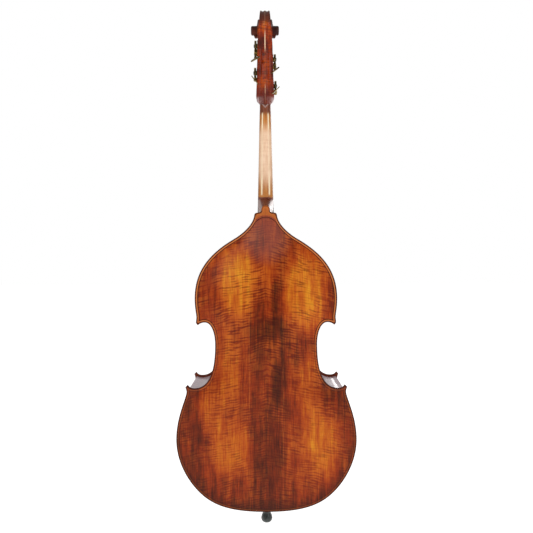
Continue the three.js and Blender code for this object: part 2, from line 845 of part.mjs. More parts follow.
const tailUp = new THREE.Vector3(0, -Math.sin(TAIL_TILT), Math.cos(TAIL_TILT));
const tailForward = new THREE.Vector3(0, -Math.cos(TAIL_TILT), -Math.sin(TAIL_TILT));

function onTail(x, forward, up) {
  const p = new THREE.Vector3(0, TAIL_Y, TAIL_Z);
  p.addScaledVector(tailUp, up).addScaledVector(tailForward, forward);
  return p.setX(x);
}

function tailHalf(up) {
  return 25 + 19 * Math.pow(up / TAIL_LENGTH, 1.3);
}

function tailCrown(x, up) {
  return 12 - 10 * Math.pow(x / tailHalf(up), 2);
}

function tailpiece() {
  const rings = [];
  for (const up of [0, 6, 110, 210, 306, TAIL_LENGTH]) {
    const ends = up === 0 || up === TAIL_LENGTH ? 3 : 0;
    const half = tailHalf(up) - ends;
    const ring = [onTail(-half, -5, up), onTail(half, -5, up)];
    const sides = 6;
    for (let j = 0; j <= sides; j++) {
      const x = half * (1 - (2 * j) / sides);
      ring.push(onTail(x, tailCrown(x, up) - ends * 0.6, up));
    }
    rings.push(ring);
  }
  let body = solid(loft(rings));
  for (const machine of MACHINES) {
    const x = machine.lane * TAIL_SPREAD;
    const line = [onTail(x, -9, STRING_HOLE_AT), onTail(x, 16, STRING_HOLE_AT)];
    const hole = bar(line, machine.string + 0.7, 10);
    body = body.subtract(solid(hole));
  }
  for (const side of [-1, 1]) {
    const hole = bar([onTail(12 * side, -0.5, -5), onTail(12 * side, -0.5, 18)], WIRE + 0.4, 10);
    body = body.subtract(solid(hole));
  }
  return body;
}

function string(machine) {
  const radius = machine.string;
  const off = radius + GAP + 0.1;
  const tailX = machine.lane * TAIL_SPREAD;
  const bridgeX = machine.lane * BRIDGE_SPREAD;
  const nutX = machine.lane * NUT_SPREAD;
  const lift = tailCrown(tailX, STRING_HOLE_AT) + off + 3;
  const nutTop = crownAt(nutX, NUT_HALF) + 1.5 + off;
  const wound = ROLLER + radius + 0.5;
  const end = onPegbox(machine.lane * 4, ROLLER_DEPTH, machine.up);
  // the string leaves the nut and meets its roller as a tangent, on the side that faces forward
  const nutBack = onNeck(nutX, nutTop - 0.4, NUT_AT + 1);
  const toRoller = end.clone().sub(nutBack);
  toRoller.x = 0;
  const reach = Math.acos(wound / toRoller.length());
  const away = toRoller.clone().normalize().negate();
  const lever = away.clone().applyAxisAngle(new THREE.Vector3(1, 0, 0), -reach).multiplyScalar(wound);
  const coil = new THREE.TorusGeometry(wound, radius, 5, 14).rotateY(Math.PI / 2);
  coil.translate(end.x, end.y, end.z);
  const path = [
    onTail(tailX, -8, STRING_HOLE_AT),
    onTail(tailX, lift, STRING_HOLE_AT),
    new THREE.Vector3(bridgeX, -bridgeEdge(bridgeX) - off, BRIDGE_Z - 3),
    new THREE.Vector3(bridgeX, -bridgeEdge(bridgeX) - off, BRIDGE_Z + 3),
    onNeck(nutX, nutTop, NUT_AT - 7),
    nutBack,
    end.clone().add(lever),
  ];
  const ball = new THREE.SphereGeometry(4.5, 8, 5);
  const under = onTail(tailX, -5 - GAP - 4.5, STRING_HOLE_AT);
  ball.translate(under.x, under.y, under.z);
  return joined([bar(path, radius, 6), coil, ball]);
}

function tailWire() {
  const round = ROD + 7.5 + GAP + WIRE;
  const path = [];
  path.push(onTail(12, -0.5, 14));
  path.push(onTail(12, -0.5, -3));
  path.push(new THREE.Vector3(12.6, -121.4, 112));
  path.push(new THREE.Vector3(13, -121.4, 99.5));
  path.push(new THREE.Vector3(13.2, -118.6, WIRE_Z));
  const steps = 10;
  for (let i = 0; i <= steps; i++) {
    const angle = (Math.PI * i) / steps;
    path.push(new THREE.Vector3(round * Math.cos(angle), round * Math.sin(angle), WIRE_Z));
  }
  const other = path.slice(0, 5).reverse();
  path.push(...other.map((p) => new THREE.Vector3(-p.x, p.y, p.z)));
  return bar(path, WIRE, 6);
}

// ---- body assembly ----

const buttonHalf = [
  new THREE.Vector2(16, BODY_LENGTH - 4),
  new THREE.Vector2(16.5, BODY_LENGTH + 2),
  new THREE.Vector2(16, BODY_LENGTH + 14),
  new THREE.Vector2(13.5, BODY_LENGTH + 22),
  new THREE.Vector2(9, BODY_LENGTH + 26),
  new THREE.Vector2(0, BODY_LENGTH + 27),
];
// the button stands on the plate; its lean stops at the upper edge, flat against the heel
const button = moved(board(bothHalves(buttonHalf), 0, EDGE), (p) => p.setY(p.y + RIB_BACK - BEND_BY));

const mortise = solid(
  loft(
    [ROOT_BOTTOM - GAP, NECK_Z + 6].map((z) =>
      neckSection(
        (x, depth) => new THREE.Vector3(x, neckFrontY(z) - 5 + depth, z),
        31,
        14,
        RIB_BACK - BEND_BY - neckFrontY(z) + 5 + GAP,
        0.3,
      ),
    ),
  ),
);
const plugBore = solid(turned([[0, 60], [15.3, 60], [15.3, 109], [13.3, 170], [0, 170]], 16));
const saddleSeat = solid(box(-35 - GAP, 35 + GAP, -125, -99.5, 90, 109 + GAP));

const topHollow = domed(TOP_ARCH, EDGE - SHELL, -12, -1, RIB_FRONT, 0).translate(0, GAP + 0.2, 0);
const backHollow = domed(BACK_ARCH, EDGE - SHELL, -12, 1, RIB_BACK, 1).translate(0, -GAP - 0.2, 0);
const topArch = domed(TOP_ARCH, EDGE, -12, -1, RIB_FRONT, 0).translate(0, -GAP, 0);

const hole = soundHole();
let top = plate(RIB_FRONT, -1, TOP_ARCH, 0, []);
top = top.subtract(hole).subtract(solid(mirrored(surface(hole))));
top = top.subtract(mortise).subtract(saddleSeat);
piece("top_plate", top, SPRUCE);
piece("back_plate", plate(RIB_BACK, 1, BACK_ARCH, 1, [button]), MAPLE);

// Rib along a line, with its linings. They thin out where the rib lies on a block: thinFrom and thinTo count
// the points of that stretch at each end.
function rib(outside, thinFrom, thinTo) {
  const normals = inwardNormals(outside);
  const rings = outside.map((p, i) => {
    const onBlock = i < thinFrom || i >= outside.length - thinTo;
    const thick = onBlock ? RIB_ON_BLOCK : RIB + LINING;
    const front = RIB_FRONT + GAP;
    const back = RIB_BACK - GAP;
    const section = [
      [0, front],
      [0, back],
      [thick, back],
      [thick, back - LINING_TALL],
      [RIB, back - LINING_TALL - 4],
      [RIB, front + LINING_TALL + 4],
      [thick, front + LINING_TALL],
      [thick, front],
    ];
    return section.map(([inwards, y]) => {
      const q = p.clone().addScaledVector(normals[i], inwards);
      return new THREE.Vector3(q.x, y > 0 ? y + lean(q.y) : y, BODY_BOTTOM + q.y);
    });
  });
  return loft(rings);
}

const v2 = (x, y) => new THREE.Vector2(x, y);
const lowerRibLine = [v2(GAP / 2, OVERHANG), ...inset(lowerBout, OVERHANG).slice(1), v2(283.4, 444.6)];
const waistRibLine = [
  v2(284.5, 450.5),
  v2(275, 446.5),
  ...inset(waistBelow, OVERHANG),
  ...inset(waistAbove, OVERHANG).slice(1, -1),
  v2(226, 704),
  v2(238, 702.5),
  v2(248, 697.5),
];
const upperRibLine = [
  v2(247.3, 703.2),
  ...inset(upperBout, OVERHANG).slice(0, -1),
  v2(33.5, 1086),
  v2(27, 1091),
  v2(8, 1091),
];
// the faces that the blocks glue to
const BLOCK_INSET = OVERHANG + RIB_ON_BLOCK + GAP;
const lowerInside = inset(lowerBout, BLOCK_INSET);
const waistInside = [...inset(waistBelow, BLOCK_INSET), ...inset(waistAbove, BLOCK_INSET).slice(1)];
const upperInside = inset(upperBout, BLOCK_INSET);

for (const [side, label] of [[-1, "bass"], [1, "treble"]]) {
  const sided = (geometry) => (side < 0 ? mirrored(geometry) : geometry);
  piece("rib_lower_" + label, solid(sided(rib(lowerRibLine, 3, 3))).subtract(plugBore), MAPLE);
  piece("rib_centre_" + label, sided(rib(waistRibLine, 4, 5)), MAPLE);
  piece("rib_upper_" + label, solid(sided(rib(upperRibLine, 3, 6))).subtract(mortise), MAPLE);
  // corner blocks fill the points between two ribs
  const lowerBlock = [...lowerInside.slice(-2), ...waistInside.slice(0, 2)];
  const upperBlock = [waistInside.at(-2), v2(226, 708.5), v2(241, 707.5), ...upperInside.slice(0, 2)];
  const blocks = [["lower", lowerBlock], ["upper", upperBlock]];
  for (const [where, outline] of blocks) {
    const raw = board(outline, RIB_FRONT + GAP, RIB_BACK - GAP, 0, 1);
    piece("corner_block_" + where + "_" + label, sided(raw), RAW_WOOD);
  }
}

const shoulder = upperInside.slice(-4, -1);
const neckBlockHalf = [v2(0, shoulder[0].y), ...shoulder, v2(26, 1087), v2(0, 1087)];
const neckBlock = solid(board(bothHalves(neckBlockHalf), RIB_FRONT + GAP, RIB_BACK - GAP, 0, 1));
piece("neck_block", neckBlock.subtract(mortise), RAW_WOOD);
const endBlockHalf = [v2(0, BLOCK_INSET), lowerInside[1], v2(lowerInside[1].x, 60), v2(0, 60)];
const endBlock = solid(board(bothHalves(endBlockHalf), RIB_FRONT + GAP, RIB_BACK - GAP));
piece("end_block", endBlock.subtract(plugBore), RAW_WOOD);

const barSide = new THREE.Shape([v2(260, -160), v2(980, -160), v2(980, -105), v2(620, -97), v2(260, -105)]);
const barStick = moved(new THREE.ExtrudeGeometry(barSide, { depth: 20, bevelEnabled: false }), (p) =>
  new THREE.Vector3(p.z - 66, p.y, p.x),
);
piece("bass_bar", solid(barStick).intersect(solid(topHollow)), RAW_WOOD);
const post = new THREE.CylinderGeometry(9, 9, 300, 16).translate(60, 0, BRIDGE_Z - 26);
const room = box(40, 80, -110 + 12, 98, 500, 620);
piece("sound_post", solid(post).intersect(joined([room, topHollow, backHollow])), RAW_WOOD);

piece("neck", neck(), PALE_MAPLE);
piece("fingerboard", crownedBlock(NUT_AT - 8 - FINGERBOARD_LENGTH, NUT_AT - 8 - GAP, 10, 0, 5), EBONY);
piece("nut", crownedBlock(NUT_AT - 8, NUT_AT, 1, 1.5, 0), EBONY);
piece("bridge", bridge(topArch), RAW_WOOD);
piece("tailpiece", tailpiece(), EBONY);

const saddleSide = new THREE.Shape(
  [
    [-100.3, 99.3],
    [-116, 99.3],
    [-118.6, 101],
    [-119, 105],
    [-116, 108],
    [-110, 109],
    [-100.3, 109],
  ].map(([y, z]) => v2(y, z)),
);
const saddleStick = new THREE.ExtrudeGeometry(saddleSide, { depth: 70, bevelEnabled: false });
piece("saddle", moved(saddleStick, (p) => new THREE.Vector3(p.z - 35, p.x, p.y)), EBONY);
piece("tail_wire", tailWire(), STEEL);

// ---- scroll with its four machines ----

let head = scrollBody().subtract(solid(pegboxCavity()));
for (const machine of MACHINES) {
  const recess = onSide(machine, slabOf(machinePlateShape(GAP), -GAP, 30, 8));
  const near = onSide(machine, acrossBar(ROLLER + GAP, -25, 5, 16));
  const far = onSide(machine, acrossBar(6 + GAP, -machine.face - 26, -machine.face, 12));
  head = head.subtract(solid(recess)).subtract(solid(near)).subtract(solid(far));
}
piece("scroll", head, MAPLE);
for (const machine of MACHINES) {
  const at = machine.name;
  const put = (made) => onSide(machine, made.isBufferGeometry ? made : surface(made));
  piece("machine_plate_" + at, put(machinePlate()), BRASS);
  piece("key_worm_" + at, put(wormAndKey(machine)), BRASS);
  piece("gear_" + at, put(gear()), BRASS);
  piece("roller_" + at, put(roller(machine)), EBONY);
  piece("gear_screw_" + at, put(gearScrew()), STEEL);
  piece("string_" + at, string(machine), STEEL);
}

// ---- endpin ----

const bore = ROD + SNUG;
piece(
  "endpin_plug",
  solid(
    turned(
      [
        [0, 90],
        [15, 90],
        [16, 91],
        [16, 93],
        [12.5, 94.2],
        [12.5, 98.8],
        [20, 100],
        [21, 102],
        [21, 107],
        [20, 108.6],
        [15, 108.6],
        [13, 160],
        [0, 160],
      ],
      18,
    ),
  ).subtract(solid(turned([[0, 80], [bore, 80], [bore, 170], [0, 170]], 16))),
  EBONY,
);
const ferruleBody = turned([[0, 58], [9.5, 58], [11, 59.5], [11, 84], [13, 86], [13, 89.7], [0, 89.7]], 18);
const boss = new THREE.CylinderGeometry(5, 5, 8, 16).rotateZ(Math.PI / 2).translate(13, 0, SCREW_Z);
const screwHole = new THREE.CylinderGeometry(2.8, 2.8, 30, 12).rotateZ(Math.PI / 2);
screwHole.translate(15, 0, SCREW_Z);
const rodHole = turned([[0, 40], [bore, 40], [bore, 95], [0, 95]], 16);
piece(
  "endpin_ferrule",
  joined([ferruleBody, boss]).subtract(solid(screwHole)).subtract(solid(rodHole)),
  STEEL,
);
const shank = new THREE.CylinderGeometry(2.5, 2.5, 18, 12).rotateZ(Math.PI / 2).translate(14.6, 0, SCREW_Z);
const knob = new THREE.CylinderGeometry(4, 4, 5, 14).rotateZ(Math.PI / 2).translate(20.5, 0, SCREW_Z);
const wings = box(21, 31, -1.6, 1.6, SCREW_Z - 9, SCREW_Z + 9);
piece("endpin_thumbscrew", joined([shank, knob, wings]), STEEL);
piece("endpin_rod", turned([[0, 9], [ROD, 9], [ROD, 428], [ROD - 1, 430], [0, 430]], 16), STEEL, bass);
const tipProfile = [[0, 0], [9, 0], [15, 1.5], [19.5, 6.5], [21.8, 14]];
tipProfile.push([20.8, 21], [17.8, 29], [14.6, 36], [13.4, 42]);
tipProfile.push([ROD + GAP, 42], [ROD + GAP, 8.6], [0, 8.6]);
piece("endpin_tip", turned(tipProfile, 18), RUBBER, bass);

export default bass;
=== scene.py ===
"""Double bass seen from behind: fine wooden shells, neck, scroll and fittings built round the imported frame.
Lengths are millimetres until a mesh is made. Materials and the scene are in metres, +Z up, and the back
faces +Y.
"""

import math
import bmesh
import bpy
import numpy as np
from mathutils import Matrix, Vector
from mathutils.geometry import delaunay_2d_cdt


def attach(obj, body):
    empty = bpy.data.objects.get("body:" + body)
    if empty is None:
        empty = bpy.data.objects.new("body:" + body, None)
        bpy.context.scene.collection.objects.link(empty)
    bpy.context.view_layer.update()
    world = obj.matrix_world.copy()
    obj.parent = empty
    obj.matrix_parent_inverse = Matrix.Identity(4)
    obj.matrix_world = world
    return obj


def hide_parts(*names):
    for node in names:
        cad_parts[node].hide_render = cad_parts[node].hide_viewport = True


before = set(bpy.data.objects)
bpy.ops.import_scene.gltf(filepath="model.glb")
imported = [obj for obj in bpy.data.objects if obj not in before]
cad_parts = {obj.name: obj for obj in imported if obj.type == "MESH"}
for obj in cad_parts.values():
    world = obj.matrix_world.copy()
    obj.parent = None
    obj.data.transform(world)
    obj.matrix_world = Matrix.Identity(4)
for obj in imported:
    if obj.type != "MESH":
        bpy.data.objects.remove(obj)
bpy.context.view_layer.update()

MM = 0.001
DEG = math.pi / 180

# ---- sizes shared with the CAD source ----
BOTTOM = 100
EDGE = 7
OVERHANG = 9
HALF_DEPTH = 100
ARCH_LOW = 14
ARCH_HIGH = 1072
BEND_AT = 614
BEND_BY = 20
BODY_LENGTH = 1100
TOP_ARCH = 28
BACK_ARCH = 37
RIB = 2.5
NECK_TILT = 11.5 * DEG
NECK_ORIGIN = Vector((0, -137, 1200))
NUT_AT = 455
BOARD_LENGTH = 877
BOARD_RADIUS = 78
NUT_HALF = 21.75
NECK_DEPTH = 26.5
BOARD_END_HALF = 46
HEEL_TOP = 1278
PEGBOX_TILT = 14 * DEG
ROLLER_DEPTH = -22
ROLLER = 8.5
SCROLL_UP = 268
SCROLL_FORWARD = -11.5
WORM_LEAD = 5.655
SHAFTS_APART = 23
PLATE_THICK = 1.8
GEAR_MIDDLE = 8.6
KEY_AT = 68
TEETH = 20
BRIDGE_Z = 585
BRIDGE_TOP = 293
TAIL_TILT = 20.5 * DEG
TAIL_LENGTH = 312
STRING_HOLE_AT = 284
SCREW_Z = 72
PLUG_BORE = 5.35
# distance of neighbouring strings is twice these, at each place that holds them
TAIL_LANE = 11
BRIDGE_LANE = 14
NUT_LANE = 5
ROLLER_LANE = 4
# everything but the endpin stands this much lower than the heights in this script
LOWERED = 8
# the string slot is cut this far forward, and a machine's seat is this much larger than its plate
SLOT_MOUTH = 40
SEAT_GAP = 0.3
# a rib ends this far from the middle of the body's depth, just inside the plates
RIB_END = 99.7
# cell of the mesh that joins the scroll's parts
FINE_VOXEL = 1.25
# radius of the brass ball under the tailpiece, and how much of a string silk covers
BALL_END = 4.5
SILK_BELOW_BRIDGE = 95
SILK_BEFORE_NUT = 20
# name, place up the pegbox, side, slope of the worm, plate face, turn of the key, string radius, lane
MACHINES = [
    ("e", 67.5, -1, 15, 31.6, -47, 1.5, -3),
    ("g", 115.5, 1, 24, 30.2, 40, 0.8, 3),
    ("a", 163.5, -1, 36, 29.0, -54, 1.15, -1),
    ("d", 211.5, 1, 44, 27.8, -63, 0.95, 1),
]
LOWER_BOUT = [
    (128, 0, 184, 23, 225, 54, 20),
    (272, 90, 331, 170, 331, 266, 30),
    (331, 351, 292.5, 419, 292.5, 442, 22),
]
LOWER_CORNER = [
    (293, 447, 295, 453, 297, 458, 5),
    (294, 461, 291, 464, 288, 467, 4),
    (281, 456, 274, 454, 263, 454, 8),
]
WAIST = [(207, 454, 187, 521, 187, 614, 28), (187, 653, 199.5, 695, 226, 695, 16)]
UPPER_CORNER = [
    (236, 695, 245, 691, 251, 685, 8),
    (253, 687, 255, 690, 257.5, 693, 3),
    (257.5, 699, 256.5, 705, 256, 712, 5),
]
UPPER_BOUT = [
    (256, 727, 262.6, 746, 262.6, 784, 11),
    (262.6, 885, 208, 949, 118, 1002, 32),
    (76, 1027, 44, 1062, 42, 1092, 16),
]
ARCH_EDGE = [
    (150, 14, 317, 85, 317, 266, 40),
    (317, 345, 286, 402, 243, 446, 20),
    (200, 490, 172, 545, 172, 614, 20),
    (172, 655, 200, 690, 225, 718, 12),
    (243, 738, 249, 760, 249, 784, 10),
    (249, 872, 195, 932, 108, 984, 20),
    (70, 1008, 42, 1035, 34, 1072, 12),
]


# ---- curves ----
def traced(start, curves):
    points = [start]
    for ax, ay, bx, by, x, y, steps in curves:
        sx, sy = points[-1]
        for i in range(1, steps + 1):
            t = i / steps
            u = 1 - t
            points.append(
                (
                    u**3 * sx + 3 * u * u * t * ax + 3 * u * t * t * bx + t**3 * x,
                    u**3 * sy + 3 * u * u * t * ay + 3 * u * t * t * by + t**3 * y,
                )
            )
    return points


def lerp(a, b, t):
    return a + (b - a) * t


def between(value, low, high, a, b):
    return lerp(a, b, min(1, max(0, (value - low) / (high - low))))


def table(rows, value):
    """Rows of (key, numbers...) read at a key between them, with smooth joins."""
    keys = [r[0] for r in rows]
    if value <= keys[0]:
        return rows[0][1:]
    if value >= keys[-1]:
        return rows[-1][1:]
    i = max(k for k in range(len(rows) - 1) if keys[k] <= value)
    h = keys[i + 1] - keys[i]
    t = (value - keys[i]) / h
    out = []
    for c in range(1, len(rows[0])):
        def slope(k):
            if k == 0 or k == len(rows) - 1:
                a, b = (0, 1) if k == 0 else (len(rows) - 2, len(rows) - 1)
            else:
                a, b = k - 1, k + 1
            return (rows[b][c] - rows[a][c]) / (keys[b] - keys[a])

        p, q, m, n = rows[i][c], rows[i + 1][c], slope(i) * h, slope(i + 1) * h
        out.append(
            (2 * t**3 - 3 * t * t + 1) * p
            + (t**3 - 2 * t * t + t) * m
            + (3 * t * t - 2 * t**3) * q
            + (t**3 - t * t) * n
        )
    return tuple(out)


def normals_in(line, loop=False):
    found = []
    for i in range(len(line)):
        a = line[(i - 1) % len(line)] if loop else line[max(i - 1, 0)]
        b = line[(i + 1) % len(line)] if loop else line[min(i + 1, len(line) - 1)]
        dx, dy = b[0] - a[0], b[1] - a[1]
        size = math.hypot(dx, dy) or 1
        found.append((-dy / size, dx / size))
    return found


def inset(line, by, loop=False):
    return [(p[0] + n[0] * by, p[1] + n[1] * by) for p, n in zip(line, normals_in(line, loop))]


def both_halves(half):
    return half + [(-x, y) for x, y in reversed(half) if x > 0.01]


def lean(height):
    return -BEND_BY * max(0, min(height, BODY_LENGTH) - BEND_AT) / (BODY_LENGTH - BEND_AT)


def distances(points, loop):
    """Distance from each point to a closed line."""
    a = np.array(loop, float)
    b = np.roll(a, -1, axis=0)
    p = np.array(points, float)[:, None, :]
    along = b - a
    t = ((p - a) * along).sum(2) / np.maximum((along**2).sum(1), 1e-9)
    near = a + along * np.clip(t, 0, 1)[:, :, None]
    return np.sqrt(((p - near) ** 2).sum(2)).min(1)


def inside(points, loop):
    a = np.array(loop, float)
    b = np.roll(a, -1, axis=0)
    p = np.array(points, float)[:, None, :]
    crosses = (a[:, 1] > p[..., 1]) != (b[:, 1] > p[..., 1])
    rise = np.where(b[:, 1] == a[:, 1], 1, b[:, 1] - a[:, 1])
    at = a[:, 0] + (p[..., 1] - a[:, 1]) * (b[:, 0] - a[:, 0]) / rise
    return ((crosses & (p[..., 0] < at)).sum(1) % 2) == 1


# ---- shapes: (points, faces) ----
def loft(rings, caps=True):
    count = len(rings[0])
    points = [p for r in rings for p in r]
    faces = []
    for i in range(len(rings) - 1):
        for j in range(count):
            a, b = i * count + j, i * count + (j + 1) % count
            faces.append((a, b, b + count, a + count))
    if caps:
        faces.append(tuple(reversed(range(count))))
        faces.append(tuple((len(rings) - 1) * count + j for j in range(count)))
    return points, faces


def merged(*shapes):
    points, faces = [], []
    for p, f in shapes:
        base = len(points)
        points += list(p)
        faces += [tuple(base + i for i in face) for face in f]
    return points, faces


def placed(shape, rule):
    return [rule(Vector(p)) for p in shape[0]], shape[1]


def circle(radius, z, count):
    turns = [2 * math.pi * k / count for k in range(count)]
    return [(radius * math.cos(a), radius * math.sin(a), z) for a in turns]


def tube(points, radius, sides):
    """Round bar along a line of points."""
    points = [Vector(p) for p in points]
    across = Vector((1, 0.01, 0.02))
    rings = []
    for i, p in enumerate(points):
        along = points[min(i + 1, len(points) - 1)] - points[max(i - 1, 0)]
        along.normalize()
        across = (across - along * across.dot(along)).normalized()
        other = along.cross(across)
        rings.append([p + (across * x + other * y) * radius for x, y, _ in circle(1, 0, sides)])
    return loft(rings)


def turned(profile, segments=48):
    """Solid of revolution on the Z axis from [radius, height] pairs."""
    return loft([circle(max(radius, 0.02), z, segments) for radius, z in profile])


def smooth_line(points, step):
    """Catmull-Rom points through a 3-D line, closer together than step."""
    pts = [Vector(p) for p in points]
    out = [pts[0]]
    for i in range(len(pts) - 1):
        a, b, c, d = pts[max(i - 1, 0)], pts[i], pts[i + 1], pts[min(i + 2, len(pts) - 1)]
        count = max(1, int((c - b).length / step))
        for k in range(1, count + 1):
            t = k / count
            square, cube = 2 * a - 5 * b + 4 * c - d, 3 * b - a - 3 * c + d
            out.append(0.5 * ((2 * b) + (c - a) * t + square * t * t + cube * t**3))
    return out


def corner_arc(a, b, c, radius, share, steps):
    """Points of a small arc that cuts off the corner b between a and c."""
    cut = min(radius, (a - b).length * share, (c - b).length * share)
    p, q = b + (a - b).normalized() * cut, b + (c - b).normalized() * cut
    arc = []
    for k in range(steps + 1):
        t = k / steps
        v = p * (1 - t) ** 2 + b * 2 * t * (1 - t) + q * t * t
        arc.append((v.x, v.y))
    return arc


def rounded(profile, radius, steps=4):
    """Cuts the corners of an open profile with small arcs."""
    out = [profile[0]]
    for i in range(1, len(profile) - 1):
        a, b, c = (Vector(p) for p in profile[i - 1 : i + 2])
        out += corner_arc(a, b, c, radius, 0.45, steps)
    out.append(profile[-1])
    return out


def rounded_loop(points, radius):
    """Cuts the corners of a closed outline; bends below about 20 degrees stay as they are."""
    out = []
    count = len(points)
    for i in range(count):
        a, b, c = (Vector(points[(i + k) % count]) for k in (-1, 0, 1))
        if (a - b).angle(b - c, 0) < 0.35:
            out.append((b.x, b.y))
        else:
            out += corner_arc(a, b, c, radius, 0.4, 3)
    return out


def cut_sheet(outline, holes, extra, lines, front, back):
    """Closed body cut to an outline, with its two faces given as rules of (x, y). extra points and lines of
    points refine it. Returns the shape and the flat place of each of its points."""
    verts, edges = [], []

    def add_loop(points, shut):
        base = len(verts)
        verts.extend(Vector((p[0], p[1])) for p in points)
        last = len(points) if shut else len(points) - 1
        edges.extend((base + i, base + (i + 1) % len(points)) for i in range(last))

    add_loop(outline, True)
    for hole in holes:
        add_loop(hole, True)
    for line in lines:
        if len(line) > 1:
            add_loop(line, False)
    verts.extend(Vector(p) for p in extra)
    co, _, tris, *_ = delaunay_2d_cdt(verts, edges, [], 0, 1e-4)
    flat = [(v.x, v.y) for v in co]
    middle = [tuple(sum(flat[i][k] for i in t) / 3 for k in (0, 1)) for t in tris]
    keep = inside(middle, outline)
    for hole in holes:
        keep &= ~inside(middle, hole)
    tris = [t for t, k in zip(tris, keep) if k]
    count = len(flat)
    seen = {}
    for t in tris:
        for i in range(3):
            seen[(t[i], t[(i + 1) % 3])] = True
    faces = [tuple(t) for t in tris] + [tuple(count + i for i in reversed(t)) for t in tris]
    for a, b in seen:
        if (b, a) not in seen:
            faces.append((b, a, count + a, count + b))
    used = sorted({i for f in faces for i in f})
    order = {v: i for i, v in enumerate(used)}
    places = [flat[i % count] for i in used]
    points = [front(*flat[i]) if i < count else back(*flat[i - count]) for i in used]
    return (points, [tuple(order[i] for i in f) for f in faces]), places


# ---- pieces ----
def shown(name, mesh, look, sharp):
    """A finished mesh in the scene, shaded smooth up to an angle in degrees."""
    mesh.materials.clear()
    mesh.materials.append(look)
    mesh.shade_smooth()
    mesh.set_sharp_from_angle(angle=sharp * DEG)
    obj = bpy.data.objects.new(name, mesh)
    bpy.context.scene.collection.objects.link(obj)
    return obj


def piece(name, shape, body, slot, look, replaces=(), sharp=35, values=None):
    """values are numbers for the material, one per point under each key."""
    points, faces = shape
    down = 0 if body == "endpin" else LOWERED
    mesh = bpy.data.meshes.new(name)
    mesh.from_pydata([(x * MM, y * MM, (z - down) * MM) for x, y, z in points], [], faces)
    for key, numbers in (values or {}).items():
        layer = mesh.attributes.new(key, "FLOAT", "POINT")
        layer.data.foreach_set("value", np.array(numbers, np.float32))
    bm = bmesh.new()
    bm.from_mesh(mesh)
    bmesh.ops.recalc_face_normals(bm, faces=bm.faces)
    bm.to_mesh(mesh)
    bm.free()
    obj = shown(name, mesh, look, sharp)
    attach(obj, body)
    if replaces:
        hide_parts(*replaces)
    return obj


def add_bevel(obj, width):
    mod = obj.modifiers.new("edges", "BEVEL")
    mod.width = width * MM
    mod.segments = 2
    mod.limit_method = "ANGLE"
    mod.angle_limit = 40 * DEG
    mod.harden_normals = True


def dress(node, look):
    """A CAD node keeps its shape and gets a better surface."""
    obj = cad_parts[node]
    obj.data.materials.clear()
    obj.data.materials.append(look)


# ---- materials ----
def srgb(r, g, b):
    def lin(c):
        c /= 255
        return c / 12.92 if c <= 0.04045 else ((c + 0.055) / 1.055) ** 2.4

    return (lin(r), lin(g), lin(b), 1)


